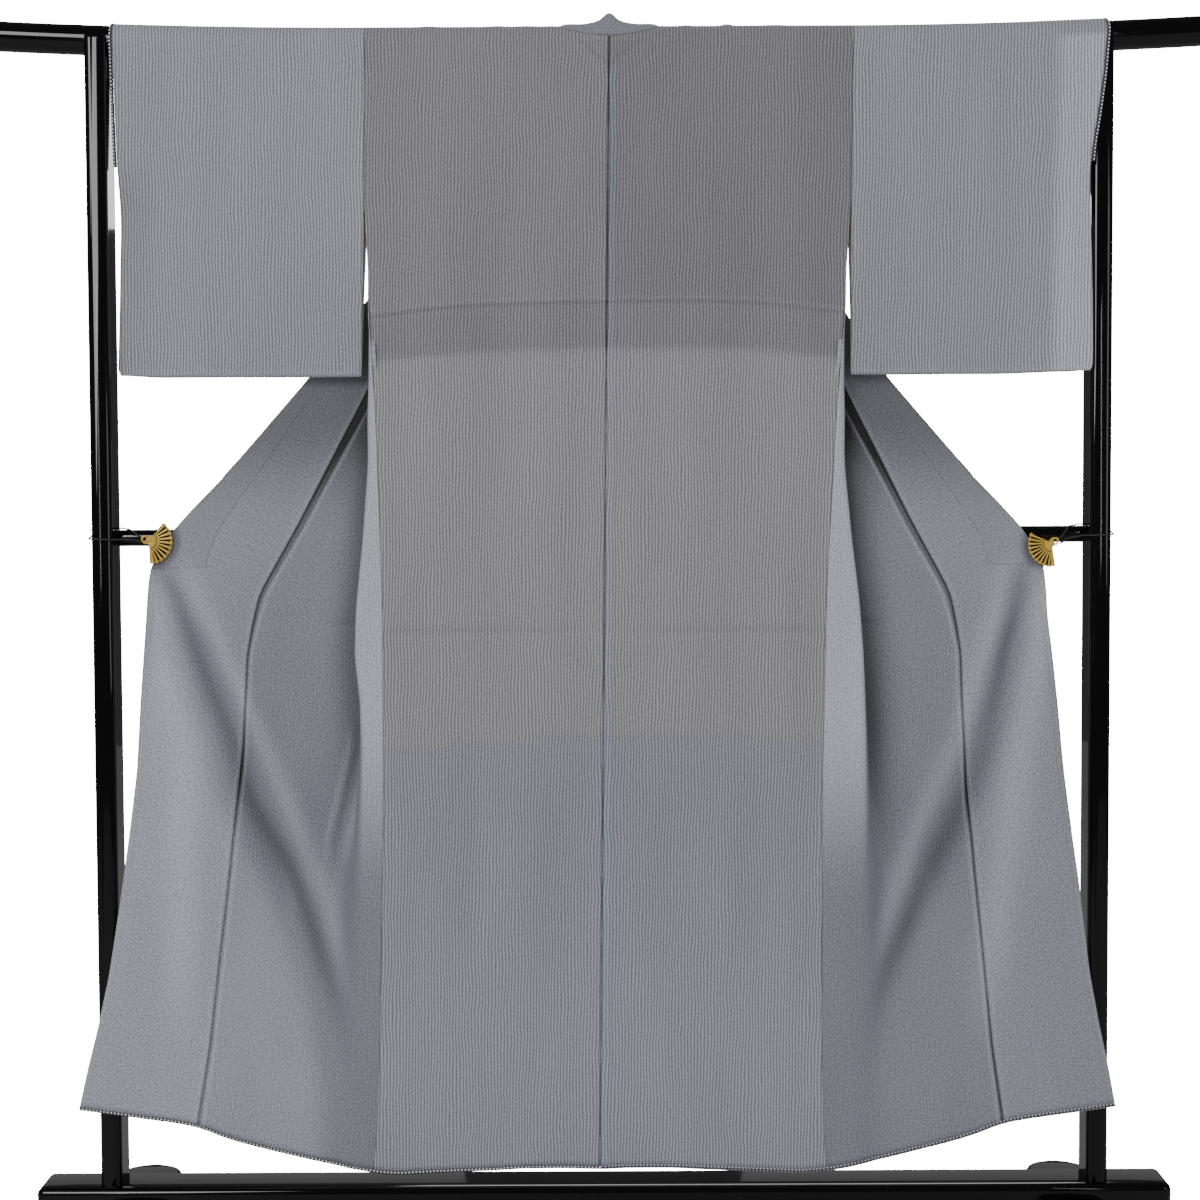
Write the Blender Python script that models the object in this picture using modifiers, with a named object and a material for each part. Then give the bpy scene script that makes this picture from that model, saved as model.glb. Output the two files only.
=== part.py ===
"""Silk kimono on a display stand: lined robe over a bar, front panels turned out and clipped."""
import math

import bmesh
import bpy
import numpy as np

# ---- driving dimensions (metres) ----
CLOTH = 0.002
SEAM_GAP = 0.0003
BAR_RADIUS = 0.0195
BAR_HEIGHT = 1.598
BAR_HALF_LENGTH = 0.90
BAR_UPTURN = 0.054
WRAP_RADIUS = 0.0215
BACK_Y = -0.0215
FRONT_WIDTH = 0.24
ARMHOLE_X = 0.3165
ARMHOLE_END = 1.39
SIDE_SEAM_TOP = 1.25
SLEEVE_BOTTOM = 1.166
SLEEVE_CORNER = 0.012
CUFF_END = 1.39
KENSAKI_Z = 1.40
COLLAR_END = 0.915
COLLAR_WIDTH = 0.055
LEAN_BASE = -0.007
LEAN_SLOPE = 0.0125
POST_X = 0.6535
POST_WIDTH = 0.028
POST_DEPTH = 0.060
POST_TOP = 1.608
CROSS_RADIUS = 0.011
CROSS_Z = 0.955
CROSS_Y = 0.017
BEAM_HALF = 0.751
BEAM_DEPTH = 0.078
BEAM_HEIGHT = 0.060
FOOT_HEIGHT = 0.0362
FOOT_WIDTH = 0.086
FOOT_LENGTH = 0.54
FAN_RADIUS = 0.030
FAN_PLEATS = 12
CORD_RADIUS = 0.0011

# ---- tables, heights from the floor up ----
# cross lines shared by the front panels, the okumi and the collar; the back uses some of them
LEVELS = (1.598, 1.575, 1.56, 1.545, 1.50, 1.45, 1.388, 1.34, 1.29, 1.24, 1.19, 1.13, 1.07, 1.01, 0.965, 0.94,
          0.915, 0.87, 0.82, 0.76, 0.70, 0.645, 0.59, 0.53, 0.46, 0.39, 0.31, 0.235, 0.1745)
BACK_LEVELS = (0.1745, 0.235, 0.31, 0.46, 0.645, 0.87, 1.07, 1.24, 1.388, 1.50, 1.598)
# half width of the back at the side seam
SIDE = {
    "z": (0.1125, 0.175, 0.254, 0.418, 0.629, 0.870, 1.07, 1.24, 1.388, 1.65),
    "x": (0.3018, 0.2965, 0.2938, 0.2915, 0.290, 0.292, 0.2995, 0.309, 0.3165, 0.3165),
}
# half width of the front panel's inner edge: okumi seam, then collar seam above it
INNER = {
    "z": (0.17, 0.28, 0.40, 0.53, 0.65, 0.74, 0.80, 0.84, 0.88, 0.92, 0.97, 1.04, 1.14, 1.40, 1.50, 1.55, 1.598),
    "x": (0.535, 0.5185, 0.507, 0.494, 0.4815, 0.473, 0.471, 0.464, 0.455, 0.433, 0.405, 0.3695, 0.318, 0.201,
          0.132, 0.097, 0.058),
}
# half width of the outer edge: front edge, then the folded collar above the clip
EDGE = {
    "z": (0.19, 0.256, 0.31, 0.38, 0.48, 0.56, 0.65, 0.735, 0.84, 0.89, 0.92, 0.966, 1.062, 1.165, 1.25, 1.40, 1.55,
          1.598),
    "x": (0.6865, 0.673, 0.660, 0.6455, 0.631, 0.6205, 0.6095, 0.6035, 0.594, 0.592, 0.588, 0.5585, 0.470, 0.382,
          0.323, 0.220, 0.116, 0.083),
}
# side fold: start angle in degrees, width of the strip, radius of its nose, turn in degrees
FOLD = {
    "z": (0.10, 0.20, 0.34, 0.47, 0.60, 0.72, 0.80, 0.87, 0.95, 1.05, 1.10, 1.165, 1.25, 1.30, 1.37, 1.60),
    "start": (0, 0, 0, 0, 0, 0, 0, 0, 0, 0, 5, 40, 90, 105, 180, 180),
    "strip": (0.030, 0.030, 0.032, 0.036, 0.040, 0.040, 0.038, 0.033, 0.021, 0.006, 0.002, 0, 0, 0, 0, 0),
    "nose": (0.060, 0.055, 0.045, 0.030, 0.018, 0.0095, 0.0062, 0.0050, 0.0046, 0.0072, 0.0098, 0.0135, 0.032, 0.030,
             0.012, 0.012),
    "turn": (13, 18, 36, 64, 100, 142, 172, 180, 180, 180, 180, 180, 180, 180, 180, 180),
}
# depth of the front edge, and of the far layer where it hangs free above the side seam
HANG = {
    "z": (0.10, 0.50, 0.60, 0.74, 0.87, 0.95, 1.05, 1.165, 1.25, 1.39, 1.60),
    "edge": (-0.037, -0.0345, -0.025, -0.015, -0.007, -0.004, 0.005, 0.017, 0.024, 0.033, 0.033),
}
# hem height against half width
HEM = {
    "x": (0.0, 0.10, 0.20, 0.27, 0.31, 0.37, 0.40, 0.45, 0.49, 0.53, 0.56, 0.62, 0.70),
    "z": (0.119, 0.122, 0.116, 0.112, 0.113, 0.123, 0.130, 0.143, 0.155, 0.172, 0.180, 0.191, 0.205),
}
# sleeve edges
CUFF = {
    "z": (1.16, 1.18, 1.25, 1.31, 1.36, 1.40, 1.43, 1.46, 1.49, 1.55, 1.65),
    "left": (0.641, 0.641, 0.639, 0.638, 0.637, 0.638, 0.639, 0.640, 0.641, 0.643, 0.6455),
    "right": (0.6322, 0.6322, 0.6305, 0.6285, 0.626, 0.6243, 0.6243, 0.6265, 0.6315, 0.6390, 0.6455),
}
FURI = {
    "z": (1.16, 1.25, 1.32, 1.39, 1.65),
    "x": (0.322, 0.320, 0.318, 0.3168, 0.3168),
}


def clear_scene():
    for item in list(bpy.data.objects):
        bpy.data.objects.remove(item, do_unlink=True)


def ease(value, low, high):
    t = np.clip((np.asarray(value, float) - low) / (high - low), 0.0, 1.0)
    return t * t * (3.0 - 2.0 * t)


def curve(table, column, z, key="z"):
    """Smooth value of one table column: straight runs with their corners averaged."""
    z = np.asarray(z, float)
    span = 0.012
    total = np.zeros(z.shape)
    for shift in (-1.0, -0.5, 0.0, 0.5, 1.0):
        total = total + np.interp(z + shift * span, table[key], table[column])
    return total / 5.0


def side_x(z):
    return np.interp(z, SIDE["z"], SIDE["x"])


def lean(z):
    return LEAN_BASE + LEAN_SLOPE * np.asarray(z, float)


def bar_centre(x):
    rise = np.maximum(np.abs(x) - 0.3, 0.0)
    return BAR_HEIGHT + BAR_UPTURN * rise * rise


def hem_height(x):
    total = 0.0
    for shift in (-0.012, 0.0, 0.012):
        total = total + np.interp(np.abs(x) + shift, HEM["x"], HEM["z"])
    return total / 3.0


def edge_x(z, side):
    widen = np.interp(z, (0.1, 0.5, 0.65, 0.85, 1.165, 1.4), (0.005, 0.002, 0.004, 0.010, 0.0115, 0.0))
    return curve(EDGE, "x", z) - side * widen


def strip_width(z, side):
    scale = 1.0 + 0.14 * side
    return curve(FOLD, "strip", z) * scale


def collar_show(z):
    """Width of collar that faces the viewer; the rest is rolled behind it."""
    return np.interp(z, (0.91, 0.966, 1.062, 1.165, 1.6), (0.075, 0.060, 0.038, 0.019, 0.019))


def fold_state(z, side):
    """Numbers of the folded front panel at height z."""
    z = np.asarray(z, float)
    start = np.radians(curve(FOLD, "start", z))
    turn = np.radians(curve(FOLD, "turn", z))
    strip = strip_width(z, side)
    nose = curve(FOLD, "nose", z)
    roll = np.interp(z, (0.1, 0.34, 0.5, 0.65, 0.87, 0.95, 1.05, 1.6), (0.07, 0.05, 0.025, 0.009, 0.0055, 0.0045,
                                                                    0.0055, 0.006))
    free = ease(z, SIDE_SEAM_TOP, 1.37)
    px = side_x(z) + 0.5 * SEAM_GAP + 0.5 * CLOTH * np.sin(start)
    py = BACK_Y - 0.5 * CLOTH * np.sin(start) * (1.0 - free)
    lift = ease(z, SIDE_SEAM_TOP, 1.29) * 0.010 + ease(z, 1.27, 1.375) * 0.033
    py = py + lift
    first = nose * (turn - start)
    second = roll * turn
    reach = curve(INNER, "x", z) - px - strip - nose * (np.sin(turn) - np.sin(start))
    reach = reach + np.cos(turn) * (strip + first) - roll * np.sin(turn) - FRONT_WIDTH + second
    back = reach / (np.cos(turn) - 1.0)
    back = np.maximum(back, strip + first + 0.004)
    longest = np.interp(z, (0.1, 0.4, 0.6, 0.75, 0.85), (0.010, 0.016, 0.030, 0.050, 0.25))
    back = np.minimum(back, strip + first + longest)
    return {"start": start, "turn": turn, "strip": strip, "nose": nose, "roll": roll, "px": px, "py": py,
            "first": first, "second": second, "back": back}


def front_section(a, z, side):
    """Half width and depth of the opened front at distance a from the side seam."""
    s = fold_state(z, side)
    a1 = s["strip"]
    a2 = s["back"]
    turn = s["turn"]
    c1 = np.clip(a, 0.0, a1)
    f1 = s["start"] + np.clip(a - a1, 0.0, s["first"]) / s["nose"]
    c2 = np.clip(a - a1 - s["first"], 0.0, a2 - a1 - s["first"])
    f2 = turn - np.clip(a - a2, 0.0, s["second"]) / s["roll"]
    tail = np.maximum(a - a2 - s["second"], 0.0)
    x_roll = s["px"] + c1 + s["nose"] * (np.sin(f1) - np.sin(s["start"])) + np.cos(turn) * c2
    x_roll = x_roll + s["roll"] * (np.sin(turn) - np.sin(f2))
    y = s["py"] + s["nose"] * (np.cos(s["start"]) - np.cos(f1)) + np.sin(turn) * c2
    y = y + s["roll"] * (np.cos(f2) - np.cos(turn))
    # the free run is fitted to the okumi seam, and beyond it to the front edge
    x_start = s["px"] + a1 + s["nose"] * (np.sin(turn) - np.sin(s["start"]))
    x_start = x_start + np.cos(turn) * (a2 - a1 - s["first"]) + s["roll"] * np.sin(turn)
    run = np.maximum(FRONT_WIDTH - a2 - s["second"], 0.004)
    inner = curve(INNER, "x", z)
    fit = np.where(z < 1.50, (inner - x_start) / run, 1.0)
    fit = 1.0 + (fit - 1.0) * (1.0 - ease(z, 1.45, 1.52))
    near = np.minimum(tail, run)
    far = np.maximum(tail - run, 0.0)
    x = x_roll + near * fit + far
    # the hanging depth drifts to that of the front edge
    width = np.maximum(edge_x(z, side) - x_start, 0.02)
    along = np.clip((x - x_start) / width, 0.0, 1.0)
    along = np.where(tail > 0.0, along, 0.0)
    goal = curve(HANG, "edge", z)
    level = ease(along, 0.0, 1.0)
    y = y + (goal - y) * level * (1.0 - ease(z, 1.20, 1.35))
    y = y + wing_folds(x, z) * ease(along, 0.04, 0.25)
    return x, y


def wing_folds(x, z):
    """Soft troughs and ridges that run down from the clip."""
    trough = np.interp(z, (0.33, 0.49, 0.60, 0.70, 0.88), (0.36, 0.42, 0.46, 0.49, 0.56))
    ridge = np.interp(z, (0.15, 0.40, 0.66, 0.87), (0.545, 0.53, 0.545, 0.560))
    inner = np.interp(z, (0.20, 0.33, 0.475, 0.66, 0.85), (0.36, 0.335, 0.375, 0.455, 0.53))
    broad = np.interp(z, (0.2, 0.6, 0.9), (0.032, 0.026, 0.014))
    fade = ease(z, 0.22, 0.42) * (1.0 - ease(z, 0.80, 0.90))
    depth = 0.013 * np.exp(-((x - trough) / broad) ** 2) * fade
    depth = depth - 0.008 * np.exp(-((x - ridge - 0.03) / (broad * 1.3)) ** 2) * fade
    depth = depth - 0.006 * np.exp(-((x - inner + 0.015) / broad) ** 2) * fade
    return depth


def back_depth(x, z):
    """Depth of the hanging back: flat, with faint long waves that die out at the edges."""
    side = side_x(z)
    share = np.clip(np.abs(x) / side, 0.0, 1.0)
    hold = ease(share, 0.0, 0.10) * (1.0 - ease(share, 0.80, 1.0)) * (1.0 - ease(z, 1.30, 1.56))
    wave = 0.0022 * np.sin(11.0 * share + 2.0 * z) * hold
    low = -0.004 * np.sin(math.pi * share) * (1.0 - ease(z, 0.2, 0.7))
    return BACK_Y + wave + low * (1.0 - ease(share, 0.86, 1.0))


# ---- meshes ----
def new_mesh(name, verts, faces):
    mesh = bpy.data.meshes.new(name)
    mesh.from_pydata([tuple(float(c) for c in v) for v in verts], [], faces)
    mesh.update()
    item = bpy.data.objects.new(name, mesh)
    parts.objects.link(item)
    work = bmesh.new()
    work.from_mesh(mesh)
    if work.calc_volume(signed=True) < 0.0:
        bmesh.ops.reverse_faces(work, faces=work.faces[:])
    work.to_mesh(mesh)
    work.free()
    return item


def grid_normals(points, closed):
    if closed:
        ext = np.concatenate([points[-1:], points, points[:1]], axis=0)
        along = np.gradient(ext, axis=0)[1:-1]
    else:
        along = np.gradient(points, axis=0)
    across = np.gradient(points, axis=1)
    normal = np.cross(along, across)
    return normal / np.maximum(np.linalg.norm(normal, axis=2, keepdims=True), 1e-12)


def thick_sheet(name, points, thickness=CLOTH, closed=False):
    """One closed wall from a grid of middle points (rows, columns, xyz)."""
    rows, cols = points.shape[:2]
    normal = grid_normals(points, closed)
    top = points + normal * thickness * 0.5
    low = points - normal * thickness * 0.5
    verts = np.concatenate([top.reshape(-1, 3), low.reshape(-1, 3)])
    base = rows * cols
    faces = []
    last = rows if closed else rows - 1
    for r in range(last):
        n = (r + 1) % rows
        for c in range(cols - 1):
            a, b = r * cols + c, r * cols + c + 1
            d, e = n * cols + c, n * cols + c + 1
            faces.append((a, d, e, b))
            faces.append((base + a, base + b, base + e, base + d))
    for r in range(last):
        n = (r + 1) % rows
        a, d = r * cols, n * cols
        faces.append((a, base + a, base + d, d))
        a, d = r * cols + cols - 1, n * cols + cols - 1
        faces.append((a, d, base + d, base + a))
    if not closed:
        for c in range(cols - 1):
            a, b = c, c + 1
            faces.append((a, b, base + b, base + a))
            a, b = (rows - 1) * cols + c, (rows - 1) * cols + c + 1
            faces.append((a, base + a, base + b, b))
    return new_mesh(name, verts, faces)


def world(x, y, z, side):
    return np.stack([side * x + lean(z), y, z], axis=-1)


def spread(breaks, counts):
    """Distances along a row: each stretch between breaks gets its own number of steps."""
    out = [breaks[0]]
    for low, high, count in zip(breaks[:-1], breaks[1:], counts):
        step = (high - low) / count
        for i in range(count):
            out.append(low + step * (i + 1))
    return np.array(out)


NECKLINE = {
    "angle": (16, 34, 54, 78, 104, 130, 156),
    "x": (0.0, 0.036, 0.062, 0.069, 0.072, 0.0745, 0.0758),
}


def body_grid(side):
    """Middle points of one body length, from back hem over the bar to front hem."""
    counts = (1, 4, 1, 5, 4, 1)
    cols = sum(counts) + 1
    rows = []
    share = np.linspace(1.0, 0.0, cols)
    half_gap = 0.5 * SEAM_GAP
    for level in BACK_LEVELS:
        x = half_gap + (float(side_x(level)) - SEAM_GAP) * share
        z = sloped(level, x)
        x = half_gap + (side_x(z) - SEAM_GAP) * share
        z = sloped(level, x)
        rows.append(world(x, back_depth(x, z), z, side))
    for angle, inner in zip(NECKLINE["angle"], NECKLINE["x"]):
        w = math.radians(angle)
        x = inner + half_gap + (ARMHOLE_X - inner - SEAM_GAP) * share
        z = bar_centre(side * x + lean(BAR_HEIGHT)) + WRAP_RADIUS * math.sin(w)
        rows.append(world(x, np.full(cols, -WRAP_RADIUS * math.cos(w)), z, side))
    for level in LEVELS:
        s = fold_state(level, side)
        end = FRONT_WIDTH - half_gap
        nose_end = float(s["strip"] + s["first"])
        roll_at = float(s["back"])
        roll_end = roll_at + float(s["second"])
        breaks = [0.0, float(s["strip"]), nose_end, roll_at, roll_end, end - 0.004, end]
        for i in range(1, 6):
            room = 0.003 * (5 - i)
            breaks[i] = min(max(breaks[i], breaks[i - 1] + 0.003), end - 0.004 - room)
        a = spread(breaks, counts)
        x, y = front_section(a, np.full(cols, level), side)
        z = sloped(level, x)
        x, y = front_section(a, z, side)
        if level == BAR_HEIGHT:
            z = bar_centre(side * x + lean(BAR_HEIGHT))
        rows.append(world(x, y, z, side))
    return np.array(rows)


def sloped(level, x):
    """Height along a cross line that meets the okumi seam at this level and follows the hem below."""
    return level + (hem_height(x) - LEVELS[-1]) * (1.0 - ease(level, LEVELS[-1], 0.88))


def wing_point(share, z, side):
    """Point of the okumi between the front panel's seam and its outer edge."""
    inner = curve(INNER, "x", z) + 0.5 * SEAM_GAP
    outer = okumi_edge(z, side)
    x = inner + (outer - inner) * share
    s = fold_state(z, side)
    a0 = FRONT_WIDTH + 0.5 * SEAM_GAP
    x0, y0 = front_section(np.full(np.shape(z), a0), z, side)
    a = a0 + (x - x0)
    xx, y = front_section(a, z, side)
    return x, y


def okumi_edge(z, side):
    """Outer edge of the okumi: collar seam above the collar's end, front edge below it."""
    seam = edge_x(z, side) - collar_show(z) - 0.5 * SEAM_GAP
    return np.where(z > COLLAR_END + 0.0002, seam, edge_x(z, side))


def okumi_grid(side):
    share = np.array((0.0, 0.03, 0.20, 0.40, 0.60, 0.80, 0.97, 1.0))
    rows = []
    above = tuple(level for level in LEVELS if COLLAR_END < level < KENSAKI_Z)
    below = tuple(level for level in LEVELS if level <= COLLAR_END)
    for level in above + (COLLAR_END + 0.0006,) + below:
        z = np.full(share.shape, level)
        x, y = wing_point(share, z, side)
        z = sloped(level, x)
        x, y = wing_point(share, z, side)
        rows.append(world(x, y, z, side))
    return np.array(rows)


# collar over the neck, one row for each mark of the neckline: middle, ridge, fall and tip
NECK = (
    ((0.0, -0.0150, 1.6240), (0.0, 0.0030, 1.6375), (0.0, 0.0220, 1.6320), (0.0, 0.0320, 1.6150)),
    ((0.033, -0.0085, 1.6260), (0.033, 0.0080, 1.6345), (0.033, 0.0260, 1.6280), (0.033, 0.0345, 1.6110)),
    ((0.0545, 0.0010, 1.6265), (0.0520, 0.0145, 1.6300), (0.0505, 0.0290, 1.6215), (0.0495, 0.0365, 1.6055)),
    ((0.0620, 0.0095, 1.6262), (0.0595, 0.0205, 1.6265), (0.0575, 0.0320, 1.6170), (0.0560, 0.0385, 1.6010)),
    ((0.0660, 0.0160, 1.6225), (0.0645, 0.0260, 1.6210), (0.0630, 0.0355, 1.6120), (0.0595, 0.0408, 1.5998)),
    ((0.0690, 0.0212, 1.6165), (0.0690, 0.0300, 1.6145), (0.0690, 0.0385, 1.6070), (0.0630, 0.0425, 1.5992)),
    ((0.0705, 0.0250, 1.6085), (0.0730, 0.0325, 1.6068), (0.0755, 0.0400, 1.6025), (0.0665, 0.0432, 1.5988)),
)


def neck_seams():
    """Lower edge of the standing collar: the neckline moved towards the hole by wall and gap."""
    angle = np.radians(NECKLINE["angle"])
    path = np.stack([WRAP_RADIUS * angle, np.array(NECKLINE["x"])], axis=1)
    path = np.vstack([path[0] * (1.0, -1.0) - (0.0, 0.036), path])
    path[0, 0] = path[2, 0]
    tangent = np.gradient(path, axis=0)[1:]
    tangent = tangent / np.linalg.norm(tangent, axis=1, keepdims=True)
    away = 0.5 * CLOTH + SEAM_GAP + 0.0009
    shifted = path[1:] + away * np.stack([tangent[:, 1], -tangent[:, 0]], axis=1)
    turn = shifted[:, 0] / WRAP_RADIUS
    radius = WRAP_RADIUS + 0.0006
    return [(max(x, 0.0), -radius * math.cos(w), BAR_HEIGHT + radius * math.sin(w))
            for x, w in zip(shifted[:, 1], turn)]


def collar_far(z, side):
    """Collar section on the far side: seam, outward run, rolled nose, tail behind."""
    show = float(collar_show(z))
    rolled = float(ease(z, 0.955, 1.12))
    tail = max((COLLAR_WIDTH - show * 0.8) * rolled, 0.002) * float(np.interp(z, (1.5, 1.598), (1.0, 0.22)))
    bend = max(math.pi * rolled, 0.02)
    radius = 0.0107 / bend
    turn = bend * np.array((1.0, 2.0, 3.0)) / 3.0
    nose_x = radius * np.sin(turn)
    nose_y = radius * (1.0 - np.cos(turn))
    tail_x = nose_x[-1] + tail * math.cos(bend) * np.array((0.5, 1.0))
    tail_y = nose_y[-1] + tail * math.sin(bend) * np.array((0.5, 1.0))
    far_x = np.concatenate([nose_x, tail_x])
    far_y = np.concatenate([nose_y, tail_y])
    reach = float(np.max(far_x))
    a0 = FRONT_WIDTH + SEAM_GAP + 0.0018 * float(ease(z, 1.53, 1.57))
    zz = np.full(4, z)
    steps = np.linspace(0.0, 1.0, 4)
    if z > KENSAKI_Z:
        a = a0 + steps * float(np.interp(z, (1.5, 1.545, 1.575, 1.598), (0.019, 0.019, 0.017, 0.012)))
        x, y = front_section(a, zz, side)
    else:
        seam_x = float(edge_x(z, side)) - show
        x = seam_x + 0.5 * SEAM_GAP + steps * max(show - reach, 0.006)
        base_x, base_y = front_section(np.full(4, a0), zz, side)
        unused_x, y = front_section(a0 + (x - base_x), zz, side)
    return np.concatenate([x, x[-1] + far_x]), np.concatenate([y, y[-1] + far_y])


def round_line(t, values):
    """Value along five even marks, rounded at the marks."""
    total = 0.0
    for shift in (-0.35, 0.0, 0.35):
        total = total + np.interp(np.clip(t + shift, 0.0, 4.0), range(5), values)
    total = total / 3.0
    total[0] = values[0]
    total[-1] = values[-1]
    return total


def collar_grid():
    half = []
    t = np.linspace(0.0, 4.0, 9)
    for seam, station in zip(neck_seams(), NECK):
        pts = np.array((seam,) + station)
        half.append([round_line(t, pts[:, k]) for k in range(3)])
    levels = tuple(level for level in LEVELS if COLLAR_END < level) + (COLLAR_END + 0.001,)
    rows = []
    for side in (-1, 1):
        run = []
        for x, y, z in half:
            run.append(world(x, y, z, side))
        for level in levels:
            x, y = collar_far(level, side)
            run.append(world(x, y, np.full(9, level), side))
        rows.append(run)
    left = rows[0][::-1]
    right = rows[1][1:]
    return np.array(left + right)


SLEEVE_LEVELS = (1.170, 1.176, 1.20, 1.256, 1.315, 1.355, 1.385, 1.412, 1.44, 1.475, 1.53, 1.598)


def sleeve_grid(side):
    share = np.array((0.0, 0.08, 0.21, 0.37, 0.54, 0.70, 0.83, 0.91, 0.965, 1.0))
    rows = []
    for z in SLEEVE_LEVELS:
        x, y, h = sleeve_layer(share, z, side)
        rows.append(world(x, y - h, z + sleeve_rise(x, z, side), side))
    for angle in (30, 60, 90, 120, 150):
        w = math.radians(angle)
        x, y, h = sleeve_layer(share, BAR_HEIGHT, side)
        z = BAR_HEIGHT + sleeve_rise(x, BAR_HEIGHT, side) + WRAP_RADIUS * math.sin(w)
        rows.append(world(x, y - h * math.cos(w), z, side))
    for z in SLEEVE_LEVELS[::-1]:
        x, y, h = sleeve_layer(share, z, side)
        rows.append(world(x, y + h, z + sleeve_rise(x, z, side), side))
    low = SLEEVE_LEVELS[0]
    for angle in (45, 90, 135):
        w = math.radians(angle)
        x, y, h = sleeve_layer(share, low, side)
        rows.append(world(x, y + h * math.cos(w), low - np.minimum(h, 0.004) * math.sin(w), side))
    return np.array(rows)


def sleeve_layer(share, z, side):
    """Half width, middle depth and half depth of the sleeve at one height."""
    word = "left" if side < 0 else "right"
    inner = curve(FURI, "x", z)
    drop = np.clip(SLEEVE_CORNER - (z - SLEEVE_BOTTOM), 0.0, SLEEVE_CORNER)
    outer = curve(CUFF, word, z) - SLEEVE_CORNER + np.sqrt(SLEEVE_CORNER ** 2 - drop ** 2)
    x = inner + (outer - inner) * share
    up = np.clip((z - SLEEVE_LEVELS[0]) / (BAR_HEIGHT - SLEEVE_LEVELS[0]), 0.0, 1.0)
    plain = 0.004 + (WRAP_RADIUS - 0.004) * up
    seam = 0.004 + (WRAP_RADIUS - 0.004) * ease(z, SLEEVE_BOTTOM, ARMHOLE_END)
    near = 1.0 - ease(x, inner, inner + 0.07)
    half = plain + (seam - plain) * near
    shut = 0.5 * CLOTH + 0.5 * SEAM_GAP
    mouth = ease(z, CUFF_END - 0.02, CUFF_END + 0.06)
    inside = ease(outer - x, 0.0, 0.06)
    half = shut + (half - shut) * (inside + (1.0 - inside) * mouth)
    hold = ease(share, 0.0, 0.25) * (1.0 - ease(share, 0.75, 1.0))
    down = 1.0 - ease(z, 1.25, BAR_HEIGHT)
    middle = 0.0025 * np.sin(9.0 * share + 0.8 * side) * hold * down - 0.002 * down
    if side > 0:
        # this cuff stands round the upright, and is sewn shut in front of it further down
        outside = ease(x, 0.50, 0.61)
        opened = ease(z, 1.355, 1.44)
        thin = shut + 0.0014 * (1.0 - ease(x, 0.60, 0.622))
        half = half + (thin + (0.0345 - thin) * opened - half) * outside
        middle = middle + ((shut - 0.0345) * (1.0 - opened) - middle) * outside
    return x, middle, half


def sleeve_rise(x, z, side):
    """The sleeve follows the upturned end of the bar."""
    up = np.clip((z - SLEEVE_LEVELS[0]) / (BAR_HEIGHT - SLEEVE_LEVELS[0]), 0.0, 1.0)
    return (bar_centre(side * x + lean(BAR_HEIGHT)) - BAR_HEIGHT) * up ** 3


def tube_path(name, path, radius, sides=8, squash=1.0):
    """Closed round bar along a path of points, with flat ends."""
    path = np.array(path, float)
    tangent = np.gradient(path, axis=0)
    tangent = tangent / np.linalg.norm(tangent, axis=1, keepdims=True)
    up = np.array((0.0, 0.0, 1.0))
    if abs(tangent[0] @ up) > 0.8:
        up = np.array((0.0, 1.0, 0.0))
    one = np.cross(tangent, up)
    one = one / np.linalg.norm(one, axis=1, keepdims=True)
    two = np.cross(one, tangent)
    verts = []
    for p, u, v in zip(path, one, two):
        for k in range(sides):
            w = 2.0 * math.pi * (k + 0.5) / sides
            verts.append(p + radius * squash * math.cos(w) * u + radius * math.sin(w) * v)
    faces = []
    for r in range(len(path) - 1):
        for k in range(sides):
            n = (k + 1) % sides
            faces.append((r * sides + k, r * sides + n, (r + 1) * sides + n, (r + 1) * sides + k))
    faces.append(tuple(range(sides))[::-1])
    faces.append(tuple((len(path) - 1) * sides + k for k in range(sides)))
    return new_mesh(name, verts, faces)


def hem_lining(side, body_rows, okumi_rows):
    """Lining edge that shows below the hem, from the centre seam round to the front edge."""
    back = body_rows[0][::-1][::2]
    front = body_rows[-1]
    okumi = okumi_rows[-1][1:]
    path = np.vstack([back, front, okumi])
    path[0] = path[0] + (path[1] - path[0]) * 0.02
    tangent = np.gradient(path, axis=0)
    tangent = tangent / np.linalg.norm(tangent, axis=1, keepdims=True)
    down = np.array((0.0, 0.0, -1.0)) + tangent * tangent[:, 2:3]
    down = down / np.linalg.norm(down, axis=1, keepdims=True)
    name = "hem_lining_left" if side < 0 else "hem_lining_right"
    return tube_path(name, path + down * 0.0030, 0.0022, 6, 0.75)


def box(name, size, centre, bevel=0.0, segments=3):
    bpy.ops.mesh.primitive_cube_add(size=1.0, location=centre)
    item = bpy.context.object
    item.name = name
    item.data.name = name
    item.scale = size
    bpy.ops.object.transform_apply(location=True, rotation=False, scale=True)
    for group in list(item.users_collection):
        group.objects.unlink(item)
    parts.objects.link(item)
    if bevel:
        mod = item.modifiers.new("edge", "BEVEL")
        mod.width = bevel
        mod.segments = segments
        mod.limit_method = "ANGLE"
    return item


def prism(name, outline, low, high, axis):
    """Flat outline pushed along one axis."""
    count = len(outline)
    verts = []
    for level in (low, high):
        for u, v in outline:
            point = {"x": (level, u, v), "y": (u, level, v), "z": (u, v, level)}[axis]
            verts.append(point)
    faces = [tuple(range(count)), tuple(range(2 * count - 1, count - 1, -1))]
    for k in range(count):
        n = (k + 1) % count
        faces.append((k, count + k, count + n, n))
    item = new_mesh(name, verts, faces)
    work = bmesh.new()
    work.from_mesh(item.data)
    bmesh.ops.recalc_face_normals(work, faces=work.faces[:])
    work.to_mesh(item.data)
    work.free()
    return item


def round_bevel(item, width, segments=2):
    mod = item.modifiers.new("edge", "BEVEL")
    mod.width = width
    mod.segments = segments
    mod.limit_method = "ANGLE"
    mod.angle_limit = math.radians(40)


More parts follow.
